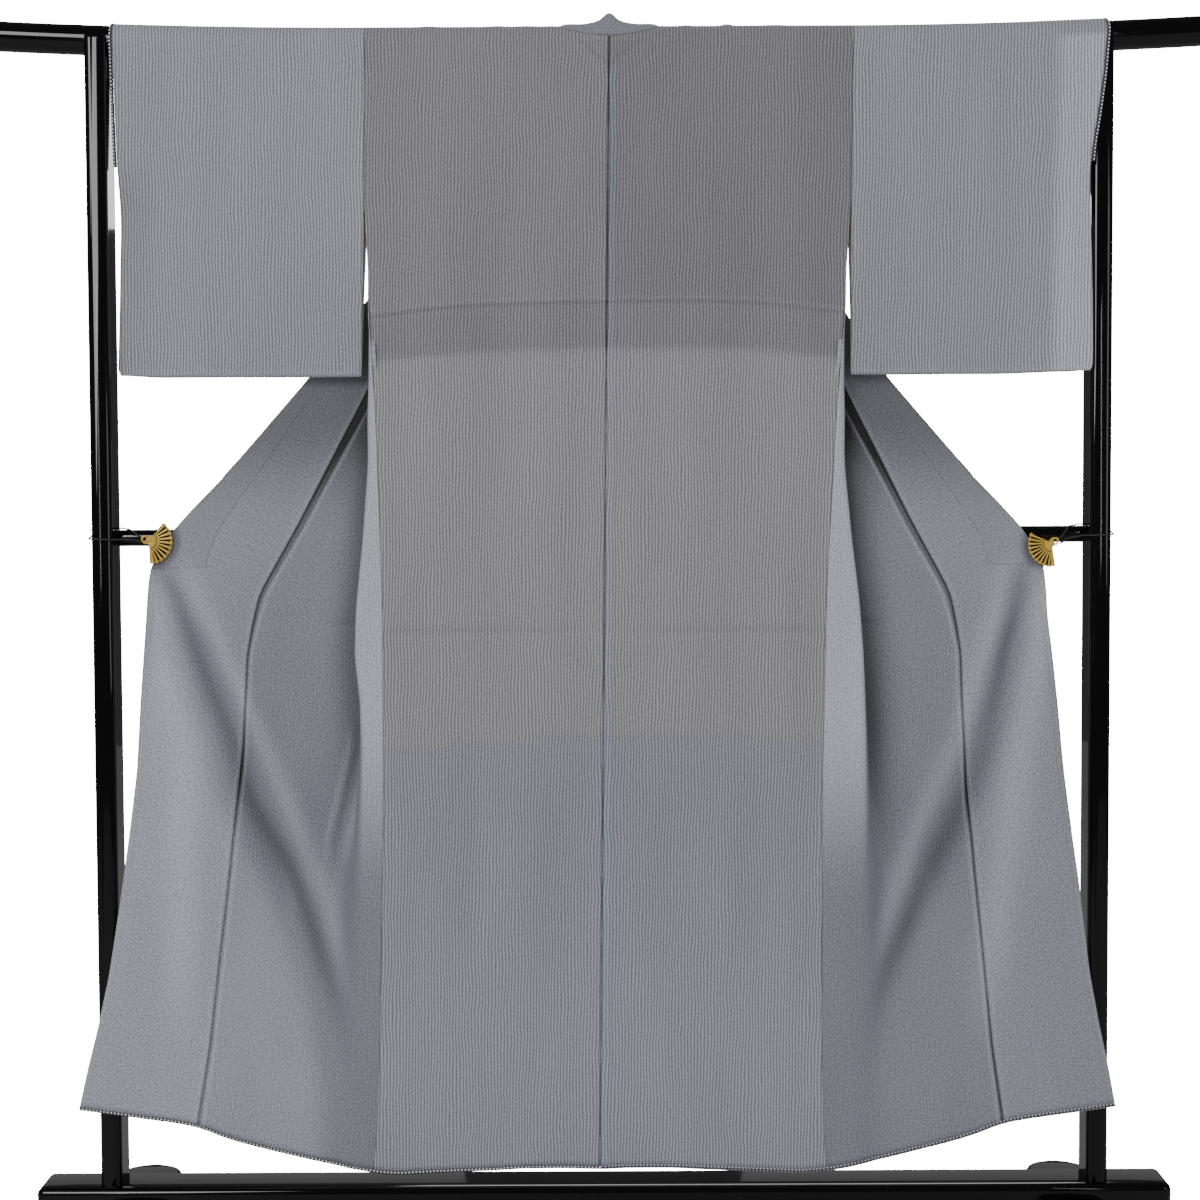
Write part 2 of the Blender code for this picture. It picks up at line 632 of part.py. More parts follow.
def post(side):
    """Upright with a round-bottomed notch that the bar lies in."""
    half = POST_DEPTH * 0.5
    notch = BAR_RADIUS + 0.0012
    centre = float(bar_centre(POST_X))
    outline = [(-half, BEAM_TOP + SEAM_GAP), (half, BEAM_TOP + SEAM_GAP), (half, POST_TOP - 0.004),
               (half - 0.003, POST_TOP), (notch + 0.002, POST_TOP), (notch, POST_TOP - 0.002)]
    for k in range(0, 13):
        w = math.pi * k / 12.0
        outline.append((notch * math.cos(w), centre - notch * math.sin(w)))
    outline += [(-notch, POST_TOP - 0.002), (-notch - 0.002, POST_TOP), (-half + 0.003, POST_TOP),
                (-half, POST_TOP - 0.004)]
    name = "post_left" if side < 0 else "post_right"
    low = side * POST_X - 0.5 * POST_WIDTH
    item = prism(name, outline, low, low + POST_WIDTH, "x")
    round_bevel(item, 0.003, 1)
    return item


def top_bar():
    half = (0.3, 0.42, 0.54, 0.66, 0.78, 0.90)
    xs = [-x for x in half[::-1]] + list(half)
    path = [(x, 0.0, float(bar_centre(x))) for x in xs]
    return tube_path("top_bar", path, BAR_RADIUS, 24)


def crossbar():
    reach = POST_X - 0.5 * POST_WIDTH - SEAM_GAP
    return tube_path("crossbar", [(-reach, CROSS_Y, CROSS_Z), (reach, CROSS_Y, CROSS_Z)], CROSS_RADIUS, 20)


def beam():
    item = box("base_beam", (2 * BEAM_HALF, BEAM_DEPTH, BEAM_HEIGHT),
               (0, 0, FOOT_HEIGHT + SEAM_GAP + BEAM_HEIGHT * 0.5))
    round_bevel(item, 0.009, 2)
    return item


def foot(side):
    outline = []
    half = FOOT_LENGTH * 0.5
    wide = FOOT_WIDTH * 0.5
    for sign in (1, -1):
        for k in range(7):
            w = math.pi * (k / 6.0)
            u = wide * math.cos(w) * sign
            v = sign * (half - 0.030 + 0.030 * math.sin(w))
            outline.append((side * POST_X + u, v))
    name = "foot_left" if side < 0 else "foot_right"
    item = prism(name, outline, 0.0, FOOT_HEIGHT, "z")
    round_bevel(item, 0.004, 1)
    return item


CLIP = {
    "side": (-1, 1),
    "x": (-0.5955, 0.5895),
    "y": (-0.0085, -0.0085),
    "z": (0.952, 0.9405),
    "from": (50.0, 148.0),
    "to": (-88.0, 251.0),
}


def clip(index):
    """Folding-fan clip: pleated fan in front, round jaw behind, barrel and ring outside."""
    side = CLIP["side"][index]
    cx, cy, cz = CLIP["x"][index], CLIP["y"][index], CLIP["z"][index]
    first = math.radians(CLIP["from"][index])
    last = math.radians(CLIP["to"][index])
    steps = 2 * FAN_PLEATS
    radii = (0.0035, 0.012, FAN_RADIUS)
    front = []
    for k in range(steps + 1):
        w = first + (last - first) * k / steps
        row = []
        for r in radii:
            lift = 0.0007 * (1 if k % 2 else -1) * min(1.0, (r - 0.003) / 0.012)
            trim = 0.0012 * (k % 2) if r == FAN_RADIUS else 0.0
            row.append((cx + (r - trim) * math.cos(w), cy + lift, cz + (r - trim) * math.sin(w)))
        front.append(row)
    name = "clip_left" if side < 0 else "clip_right"
    fan = thick_sheet(name, np.array(front), 0.0014)
    jaw = []
    for k in range(7):
        w = first + (last - first) * (0.15 + 0.7 * k / 6.0)
        jaw.append([(cx + r * math.cos(w), cy + 0.0095, cz + r * math.sin(w)) for r in (0.0035, 0.022)])
    rear = thick_sheet(name + "_jaw", np.array(jaw), 0.0014)
    barrel = tube_path(name + "_barrel", [(cx, cy - 0.0022, cz), (cx, cy + 0.0104, cz)], 0.0046, 14)
    middle = 0.5 * (first + last) + math.pi
    rx = cx + 0.0078 * math.cos(middle)
    rz = cz + 0.0078 * math.sin(middle)
    ring = []
    for k in range(12):
        w = 2.0 * math.pi * k / 12
        circle = []
        for j in range(6):
            q = 2.0 * math.pi * j / 6
            r = 0.0048 + 0.0011 * math.cos(q)
            circle.append((rx + r * math.cos(w), cy + 0.0011 * math.sin(q), rz + r * math.sin(w)))
        ring.append(circle)
    verts = [p for row in ring for p in row]
    faces = []
    for k in range(12):
        for j in range(6):
            a, b = k * 6 + j, k * 6 + (j + 1) % 6
            c, d = ((k + 1) % 12) * 6 + (j + 1) % 6, ((k + 1) % 12) * 6 + j
            faces.append((a, b, c, d))
    loop = new_mesh(name + "_ring", verts, faces)
    for tool in (rear, barrel, loop):
        mod = fan.modifiers.new("join", "BOOLEAN")
        mod.operation = "UNION"
        mod.solver = "EXACT"
        mod.object = tool
        parts.objects.unlink(tool)
        cutters.objects.link(tool)
        tool.hide_render = True
        tool.display_type = "WIRE"
    return fan, (rx, cy, rz)


def cord(side, ring):
    """Elastic loop: from the ring along the crossbar, round the post and back over the crossbar."""
    rx, ry, rz = ring
    gap = CORD_RADIUS + 0.0010
    corner = 0.003
    half_w = 0.5 * POST_WIDTH - corner
    half_d = 0.5 * POST_DEPTH - corner
    low = CROSS_Z - 0.001
    high = CROSS_Z + CROSS_RADIUS + CORD_RADIUS + 0.0006
    reach = corner + gap
    turns = ((-half_w, -half_d, -180.0, low), (half_w, -half_d, -90.0, low + 0.001),
             (half_w, half_d, 0.0, high - 0.001), (-half_w, half_d, 90.0, high))
    start = rx + side * 0.0064
    path = [(start, ry - 0.0015, rz - 0.003), (start + side * 0.010, ry - 0.005, 0.5 * (rz + low)),
            (side * (POST_X - 0.5 * POST_WIDTH) - side * 0.008, -0.5 * POST_DEPTH + 0.004, low)]
    for cx, cy, angle, level in turns:
        for part in (20.0, 45.0, 70.0):
            w = math.radians(angle + part)
            path.append((side * (POST_X + cx + reach * math.cos(w)), cy + reach * math.sin(w), level))
    path += [(side * (POST_X - 0.5 * POST_WIDTH) - side * 0.003, 0.022, high),
             (side * (POST_X - 0.5 * POST_WIDTH) - side * 0.009, 0.008, high + 0.0005),
             (start + side * 0.014, ry + 0.005, high - 0.002), (start + side * 0.0012, ry + 0.0015, rz + 0.0035)]
    name = "elastic_left" if side < 0 else "elastic_right"
    data = bpy.data.curves.new(name, "CURVE")
    data.dimensions = "3D"
    data.bevel_depth = CORD_RADIUS
    data.bevel_resolution = 2
    data.use_fill_caps = True
    data.resolution_u = 1
    data.render_resolution_u = 0
    line = data.splines.new("POLY")
    line.points.add(len(path) - 1)
    for point, place in zip(line.points, path):
        point.co = (place[0], place[1], place[2], 1.0)
    item = bpy.data.objects.new(name, data)
    parts.objects.link(item)
    return item


def cuff_lining(side):
    """Lining edge that shows just outside the cuff mouth."""
    edge = np.ones(1)
    out = 0.0030
    near = []
    far = []
    for z in np.linspace(1.437, BAR_HEIGHT, 7):
        x, y, h = sleeve_layer(edge, z, side)
        rise = sleeve_rise(x, z, side)
        near.append(world(x + out, y - h, z + rise, side)[0])
        far.append(world(x + out, y + h, z + rise, side)[0])
    over = []
    x, y, h = sleeve_layer(edge, BAR_HEIGHT, side)
    for angle in range(18, 180, 18):
        w = math.radians(angle)
        z = BAR_HEIGHT + sleeve_rise(x, BAR_HEIGHT, side) + WRAP_RADIUS * math.sin(w)
        over.append(world(x + out, y - h * math.cos(w), z, side)[0])
    path = np.array(near + over + far[::-1])
    tangent = np.gradient(path, axis=0)
    tangent /= np.linalg.norm(tangent, axis=1, keepdims=True)
    outward = np.tile(np.array((float(side), 0.0, 0.0)), (len(path), 1))
    outward -= tangent * np.sum(outward * tangent, axis=1, keepdims=True)
    outward /= np.linalg.norm(outward, axis=1, keepdims=True)
    flat = np.cross(tangent, outward)
    verts = []
    faces = []
    sides = 6
    for p, u, v in zip(path, outward, flat):
        for k in range(sides):
            w = 2.0 * math.pi * (k + 0.5) / sides
            verts.append(p + 0.0022 * math.cos(w) * u + 0.0012 * math.sin(w) * v)
    for r in range(len(path) - 1):
        for k in range(sides):
            n = (k + 1) % sides
            faces.append((r * sides + k, r * sides + n, (r + 1) * sides + n, (r + 1) * sides + k))
    faces.append(tuple(range(sides))[::-1])
    faces.append(tuple((len(path) - 1) * sides + k for k in range(sides)))
    name = "cuff_lining_left" if side < 0 else "cuff_lining_right"
    return new_mesh(name, verts, faces)


def paint(item, name, colour, rough, metal=0.0, coat=0.0):
    material = bpy.data.materials.get(name)
    if material is None:
        material = bpy.data.materials.new(name)
        material.use_nodes = True
        shader = material.node_tree.nodes["Principled BSDF"]
        shader.inputs["Base Color"].default_value = (*colour, 1.0)
        shader.inputs["Roughness"].default_value = rough
        shader.inputs["Metallic"].default_value = metal
        shader.inputs["Coat Weight"].default_value = coat
    item.data.materials.clear()
    item.data.materials.append(material)


BEAM_TOP = FOOT_HEIGHT + SEAM_GAP + BEAM_HEIGHT
clear_scene()
parts = bpy.data.collections.new("kimono_on_stand")
cutters = bpy.data.collections.new("cutters")
cutters.hide_render = True
bpy.context.scene.collection.children.link(parts)
bpy.context.scene.collection.children.link(cutters)

silk = (0.27, 0.27, 0.31)
navy = (0.035, 0.03, 0.06)
black = (0.01, 0.01, 0.011)
gold = (0.72, 0.50, 0.22)
for side, word in ((-1, "left"), (1, "right")):
    body_rows = body_grid(side)
    okumi_rows = okumi_grid(side)
    paint(thick_sheet("body_" + word, body_rows), "body_" + word, silk, 0.7)
    paint(thick_sheet("okumi_" + word, okumi_rows), "okumi_" + word, silk, 0.7)
    paint(thick_sheet("sleeve_" + word, sleeve_grid(side), closed=True), "sleeve_" + word, silk, 0.7)
    paint(hem_lining(side, body_rows, okumi_rows), "hem_lining_" + word, navy, 0.6)
    paint(cuff_lining(side), "cuff_lining_" + word, navy, 0.6)
    fan, ring = clip(0 if side < 0 else 1)
    paint(fan, "clip_" + word, gold, 0.3, 1.0)
    paint(cord(side, ring), "elastic_" + word, black, 0.8)
    paint(post(side), "post_" + word, black, 0.15, 0.0, 1.0)
    paint(foot(side), "foot_" + word, black, 0.15, 0.0, 1.0)
paint(thick_sheet("collar", collar_grid()), "collar", silk, 0.7)
paint(top_bar(), "top_bar", black, 0.15, 0.0, 1.0)
paint(crossbar(), "crossbar", black, 0.15, 0.0, 1.0)
paint(beam(), "base_beam", black, 0.15, 0.0, 1.0)
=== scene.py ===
import math
from functools import partial

import bpy
import numpy as np
from mathutils import Matrix


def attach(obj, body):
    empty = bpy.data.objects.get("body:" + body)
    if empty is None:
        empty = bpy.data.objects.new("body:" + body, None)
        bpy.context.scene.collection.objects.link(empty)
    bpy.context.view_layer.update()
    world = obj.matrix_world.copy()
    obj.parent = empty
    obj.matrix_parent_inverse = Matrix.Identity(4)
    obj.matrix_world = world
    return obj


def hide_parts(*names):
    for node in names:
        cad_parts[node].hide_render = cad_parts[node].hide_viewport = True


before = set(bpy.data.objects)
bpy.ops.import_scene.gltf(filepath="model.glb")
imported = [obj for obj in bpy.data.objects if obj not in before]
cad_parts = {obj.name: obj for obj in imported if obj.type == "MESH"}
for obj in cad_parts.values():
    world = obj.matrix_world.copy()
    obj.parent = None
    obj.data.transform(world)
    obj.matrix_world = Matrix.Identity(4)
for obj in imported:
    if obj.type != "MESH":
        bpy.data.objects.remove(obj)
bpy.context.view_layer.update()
print("frame loaded:", len(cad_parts), "solids")


def soften(value, low, high):
    # smooth step from 0 at low to 1 at high
    t = np.clip((np.asarray(value, float) - low) / (high - low), 0.0, 1.0)
    return t * t * (3.0 - 2.0 * t)


def falling(value, low, high):
    # smooth step from 1 at low to 0 at high
    return 1.0 - soften(value, low, high)


def bump(value, centre, width):
    # bell curve, 1 at the centre
    return np.exp(-((np.asarray(value, float) - centre) / width) ** 2)


def averaged(value, knots, heights, shifts):
    # straight runs between the knots, averaged over a few shifted places
    return sum(np.interp(value + s, knots, heights) for s in shifts) / len(shifts)


def readTable(table, column, z):
    # one column of a table against its heights, with the corners of its straight runs rounded off
    return averaged(np.asarray(z, float), table["z"], table[column], (-0.012, -0.006, 0.0, 0.006, 0.012))


def lean(z):
    # the whole robe hangs a little to one side
    return robe["leanBase"] + robe["leanSlope"] * np.asarray(z, float)


def sideWord(side):
    # the left side has negative widths
    return "left" if side < 0 else "right"


def gridOf(*parts):
    # arrays of matching shapes, spread to one shape and put side by side
    return np.stack(np.broadcast_arrays(*parts), axis=-1)


def toWorld(x, y, z, side):
    # half widths become places: mirrored for the left side and leant with the robe
    return gridOf(side * x + lean(z), y, z)


def unit(vectors):
    # each vector divided by its length
    return vectors / np.maximum(np.linalg.norm(vectors, axis=-1, keepdims=True), 1e-12)


def circle(count):
    # angles of evenly spaced points round a circle
    return np.linspace(0.0, 2.0 * math.pi, count, endpoint=False)


def gridNormals(points, closed):
    # cross product of the two directions of the grid
    if closed:
        ext = np.concatenate([points[-1:], points, points[:1]], axis=0)
        down = np.gradient(ext, axis=0)[1:-1]
    else:
        down = np.gradient(points, axis=0)
    return unit(np.cross(down, np.gradient(points, axis=1)))


def gridFaces(rows, cols, closed=False):
    # four corners of every cell, as one array
    last = rows if closed else rows - 1
    r, c = np.meshgrid(np.arange(last), np.arange(cols - 1), indexing="ij")
    n = (r + 1) % rows
    quads = np.stack([r * cols + c, n * cols + c, n * cols + c + 1, r * cols + c + 1], axis=-1)
    return quads.reshape(-1, 4)


def makeObject(name, verts, faces, smooth=True):
    # corners and faces become a mesh object in the scene
    mesh = bpy.data.meshes.new(name)
    mesh.from_pydata(np.asarray(verts, float).tolist(), [], [tuple(f) for f in faces])
    mesh.update()
    mesh.polygons.foreach_set("use_smooth", np.full(len(mesh.polygons), smooth))
    item = bpy.data.objects.new(name, mesh)
    bpy.context.scene.collection.objects.link(item)
    return item


def layCloth(mesh, places):
    # the flat coordinates of each vertex go to the corners of its faces
    layer = mesh.uv_layers.new(name="cloth")
    loops = np.empty(len(mesh.loops), int)
    mesh.loops.foreach_get("vertex_index", loops)
    layer.data.foreach_set("uv", places.reshape(-1, 2)[loops].ravel())


def ringFaces(rows, sides):
    # four corners of every cell of a tube of rows rings, each with sides points
    r, k = np.meshgrid(np.arange(rows - 1), np.arange(sides), indexing="ij")
    n = (k + 1) % sides
    quads = np.stack([r * sides + k, r * sides + n, (r + 1) * sides + n, (r + 1) * sides + k], axis=-1)
    return [tuple(f) for f in quads.reshape(-1, 4)]


def ringItem(name, rings, material, cloth=None, sharp=None):
    # closed rings (rows, points, xyz) joined into a solid with flat ends
    rows, sides = rings.shape[:2]
    ends = [tuple(range(sides))[::-1], tuple((rows - 1) * sides + j for j in range(sides))]
    item = makeObject(name, rings.reshape(-1, 3), ringFaces(rows, sides) + ends)
    if sharp:
        item.data.set_sharp_from_angle(angle=math.radians(sharp))
    item.data.materials.append(material)
    if cloth is not None:
        layCloth(item.data, cloth)
    return faceOutwards(item)


def faceOutwards(item):
    # turns the faces over when the closed mesh comes out with a negative volume
    mesh = item.data
    co = np.empty(len(mesh.vertices) * 3)
    mesh.vertices.foreach_get("co", co)
    co = co.reshape(-1, 3)
    mesh.calc_loop_triangles()
    tri = np.empty(len(mesh.loop_triangles) * 3, int)
    mesh.loop_triangles.foreach_get("vertices", tri)
    p = co[tri.reshape(-1, 3)] - co.mean(axis=0)
    if np.sum(np.cross(p[:, 0], p[:, 1]) * p[:, 2]) < 0.0:
        mesh.flip_normals()
    return item


def clothPiece(name, points, cloth, tone, materials, wall, closed=False, outside=1.0):
    # a sheet of middle points moved half a wall along its normals, out and in, with a rim between the two
    rows, cols = points.shape[:2]
    normal = gridNormals(points, closed) * outside
    outer = points + normal * wall * 0.5
    inner = points - normal * wall * 0.5
    base = rows * cols
    quads = gridFaces(rows, cols, closed)
    if outside < 0:
        quads = quads[:, ::-1]
    under = quads[:, ::-1] + base
    rim = []
    last = rows if closed else rows - 1
    r = np.arange(last)
    n = (r + 1) % rows
    for c, flip in ((0, True), (cols - 1, False)):
        a, d = r * cols + c, n * cols + c
        strip = np.stack([a, d, base + d, base + a], axis=-1)
        rim.append(strip[:, ::-1] if flip != (outside < 0) else strip)
    if not closed:
        c = np.arange(cols - 1)
        for row, flip in ((0, False), (rows - 1, True)):
            a, b = row * cols + c, row * cols + c + 1
            strip = np.stack([a, b, base + b, base + a], axis=-1)
            rim.append(strip[:, ::-1] if flip != (outside < 0) else strip)
    rim = np.concatenate(rim)
    faces = np.concatenate([quads, under, rim])
    verts = np.concatenate([outer.reshape(-1, 3), inner.reshape(-1, 3)])
    item = makeObject(name, verts, faces)
    mesh = item.data
    for material in materials:
        mesh.materials.append(material)
    index = np.zeros(len(faces), int)
    index[len(quads):len(quads) + len(under)] = len(materials) - 1
    mesh.polygons.foreach_set("material_index", index)
    layCloth(mesh, np.concatenate([cloth.reshape(-1, 2)] * 2))
    for key, values in tone.items():
        attribute = mesh.attributes.new(key, "FLOAT", "POINT")
        values = np.broadcast_to(values, (rows, cols)).reshape(-1)
        attribute.data.foreach_set("value", np.concatenate([values] * 2))
    return item


def turnIn(points, last, direction, depth, wide):
    # two more columns: the seam allowance, folded in behind the edge of the sheet
    edge = points[:, -1 if last else 0]
    one, two = edge.copy(), edge.copy()
    run = edge - points[:, -2 if last else 1]
    slope = np.where(np.abs(run[:, 0]) > 0.0001, run[:, 1] / (run[:, 0] + 1e-9 * (run[:, 0] == 0.0)), 0.0)
    slope = np.clip(slope, -1.5, 1.5) * direction
    one[:, 0] += direction * 0.0003
    two[:, 0] += direction * wide
    one[:, 1] += depth + slope * 0.0003
    two[:, 1] += depth * 1.15 + slope * wide
    both = (points, one[:, None], two[:, None]) if last else (two[:, None], one[:, None], points)
    return np.concatenate(both, axis=1)


def spreadEdge(values, last):
    # the allowance takes its tones and cloth coordinates from the edge
    pad = [(0, 0), (0, 2) if last else (2, 0)] + [(0, 0)] * (np.ndim(values) - 2)
    return np.pad(values, pad, mode="edge")


def lengthAlong(path):
    # distance from the start of a path to each of its points
    return np.append(0.0, np.cumsum(np.linalg.norm(np.diff(path, axis=0), axis=1)))


def sheetArea(points, closed=False):
    # area of the cloth's middle surface
    quads = gridFaces(*points.shape[:2], closed)
    p = points.reshape(-1, 3)[quads]
    one = np.cross(p[:, 1] - p[:, 0], p[:, 2] - p[:, 0])
    two = np.cross(p[:, 2] - p[:, 0], p[:, 3] - p[:, 0])
    return 0.5 * float(np.sum(np.linalg.norm(one, axis=1)) + np.sum(np.linalg.norm(two, axis=1)))


def dress(item, *nodes, slot=None):
    # one call for what every new piece needs
    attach(item, "root")
    if nodes:
        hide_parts(*nodes)
    return item


view = {
    "place": (-0.002, -3.0, 1.02),
    "pitch": -2.85,      # degrees, downwards
    "roll": 0.26,        # degrees, the right side of the frame sits a touch higher
    "lens": 68.19,
}
cameraData = bpy.data.cameras.new("camera")
cameraData.lens = view["lens"]
cameraData.sensor_width = 36.0
cameraData.dof.use_dof = False
camera = bpy.data.objects.new("camera", cameraData)
camera.matrix_world = (
    Matrix.Translation(view["place"])
    @ Matrix.Rotation(math.radians(90.0 + view["pitch"]), 4, "X")
    @ Matrix.Rotation(math.radians(-view["roll"]), 4, "Z")
)
bpy.context.scene.collection.objects.link(camera)
bpy.context.scene.camera = camera

studio = {"white": 18.0, "cloth": 0.80, "mirrored": 0.06, "floor": 0.86, "floorMirrored": 0.22}
world = bpy.data.worlds.new("studio")
bpy.context.scene.world = world
world.use_nodes = True
studioTree = world.node_tree
studioTree.nodes["Background"].inputs["Color"].default_value = (1.0, 1.0, 1.0, 1.0)
# white for the camera, soft light for cloth, and a dim room in the polished stand
rays = studioTree.nodes.new("ShaderNodeLightPath")
seen = studioTree.nodes.new("ShaderNodeMapRange")
seen.inputs["To Min"].default_value = studio["cloth"]
seen.inputs["To Max"].default_value = studio["white"]
mirrored = studioTree.nodes.new("ShaderNodeMix")
mirrored.inputs[3].default_value = studio["mirrored"]
studioTree.links.new(rays.outputs["Is Camera Ray"], seen.inputs["Value"])
studioTree.links.new(rays.outputs["Is Glossy Ray"], mirrored.inputs[0])
studioTree.links.new(seen.outputs["Result"], mirrored.inputs[2])
studioTree.links.new(mirrored.outputs[0], studioTree.nodes["Background"].inputs["Strength"])

lamps = {
    "name": ("keyLamp", "fillLamp", "backLamp", "lowLeft", "lowRight", "leftStrip", "rightStrip"),
    "place": ((-1.9, -3.4, 2.9), (2.6, -3.0, 1.6), (0.4, 2.8, 2.6), (-1.05, 2.7, 0.80),
              (1.05, 2.7, 0.80), (-1.187, -2.42, 1.54), (1.192, -2.42, 1.54)),
    "target": ((0.0, 0.0, 0.9), (0.0, 0.0, 0.8), (0.0, 0.0, 0.9), (-1.05, 0.0, 0.5),
               (1.05, 0.0, 0.5), (-0.66, 0.0, 1.54), (0.66, 0.0, 1.54)),
    "wide": (1.6, 1.3, 2.0, 1.4, 1.4, 0.010, 0.010),
    "high": (1.6, 1.3, 2.0, 0.7, 0.7, 1.12, 1.12),
    "power": (48.0, 9.0, 30.0, 0.60, 0.60, 0.42, 0.42),
}
for name, place, target, wide, high, power in zip(*lamps.values()):
    lamp = bpy.data.lights.new(name, "AREA")
    lamp.shape = "RECTANGLE"
    lamp.size, lamp.size_y = wide, high
    lamp.energy = power
    holder = bpy.data.objects.new(name, lamp)
    holder.location = place
    holder.visible_camera = False
    direction = np.array(target) - np.array(place)
    flat = math.hypot(direction[0], direction[1])
    holder.rotation_euler = (math.pi / 2 + math.atan2(direction[2], flat), 0.0,
                             math.atan2(-direction[0], direction[1]))
    bpy.context.scene.collection.objects.link(holder)

floorVerts = [(-6, -5, 0), (6, -5, 0), (6, 6, 0), (-6, 6, 0)]
floor = makeObject("floor", floorVerts, [(0, 1, 2, 3)], smooth=False)
print("camera, light and floor ready")


def newMaterial(name, **values):
    # Principled shader with its plain numbers on its own sockets
    material = bpy.data.materials.new(name)
    material.use_nodes = True
    shader = material.node_tree.nodes["Principled BSDF"]
    for key, value in values.items():
        socket = shader.inputs[key.replace("_", " ")]
        socket.default_value = (*value, 1.0) if isinstance(value, tuple) else value
    return material, material.node_tree, shader


def addNode(tree, kind, **settings):
    # a shader node with its settings
    node = tree.nodes.new(kind)
    for key, value in settings.items():
        setattr(node, key, value)
    return node


def mathNode(tree, operation, first, second=None, third=None):
    # sockets or plain numbers go in, one socket comes out
    node = addNode(tree, "ShaderNodeMath", operation=operation)
    for socket, value in zip(node.inputs, (first, second, third)):
        if value is None:
            continue
        if hasattr(value, "links"):
            tree.links.new(value, socket)
        else:
            socket.default_value = value
    return node.outputs[0]


def mixColour(tree, factor, first, second, blend="MIX"):
    # first * (1 - factor) + second * factor; sockets or plain values go in
    node = addNode(tree, "ShaderNodeMix", data_type="RGBA", blend_type=blend)
    for socket, value in ((node.inputs[0], factor), (node.inputs[6], first), (node.inputs[7], second)):
        if hasattr(value, "links"):
            tree.links.new(value, socket)
        elif isinstance(value, tuple):
            socket.default_value = (*value, 1.0)
        else:
            socket.default_value = value
    return node.outputs[2]


def stepMask(tree, value, low, high):
    # smooth step from 0 at low to 1 at high
    node = addNode(tree, "ShaderNodeMapRange", interpolation_type="SMOOTHSTEP", clamp=True)
    tree.links.new(value, node.inputs["Value"])
    node.inputs["From Min"].default_value = low
    node.inputs["From Max"].default_value = high
    return node.outputs["Result"]


def newGroup(name, inputs, outputs):
    # a node group with named inputs and outputs
    group = bpy.data.node_groups.new(name, "ShaderNodeTree")
    for label, kind, value in inputs:
        socket = group.interface.new_socket(name=label, in_out="INPUT", socket_type="NodeSocket" + kind)
        socket.default_value = (*value, 1.0) if kind == "Color" else value
    for label, kind in outputs:
        group.interface.new_socket(name=label, in_out="OUTPUT", socket_type="NodeSocket" + kind)
    return group, group.nodes.new("NodeGroupInput").outputs, group.nodes.new("NodeGroupOutput").inputs


def placeGroup(tree, group, **values):
    # a group as a node, with plain values on its inputs
    node = tree.nodes.new("ShaderNodeGroup")
    node.node_tree = group
    for key, value in values.items():
        socket = node.inputs[key.replace("_", " ")]
        socket.default_value = (*value, 1.0) if isinstance(value, tuple) else value
    return node


def noiseOn(tree, vector, scale, detail=2.0, roughness=0.5, stretch=None):
    # noise over a vector, which is stretched first where a stretch is given
    if stretch:
        mapping = addNode(tree, "ShaderNodeMapping")
        mapping.inputs["Scale"].default_value = stretch
        tree.links.new(vector, mapping.inputs["Vector"])
        vector = mapping.outputs["Vector"]
    node = addNode(tree, "ShaderNodeTexNoise")
    tree.links.new(vector, node.inputs["Vector"])
    node.inputs["Detail"].default_value = detail
    node.inputs["Roughness"].default_value = roughness
    if hasattr(scale, "links"):
        tree.links.new(scale, node.inputs["Scale"])
    else:
        node.inputs["Scale"].default_value = scale
    return node.outputs["Fac"]


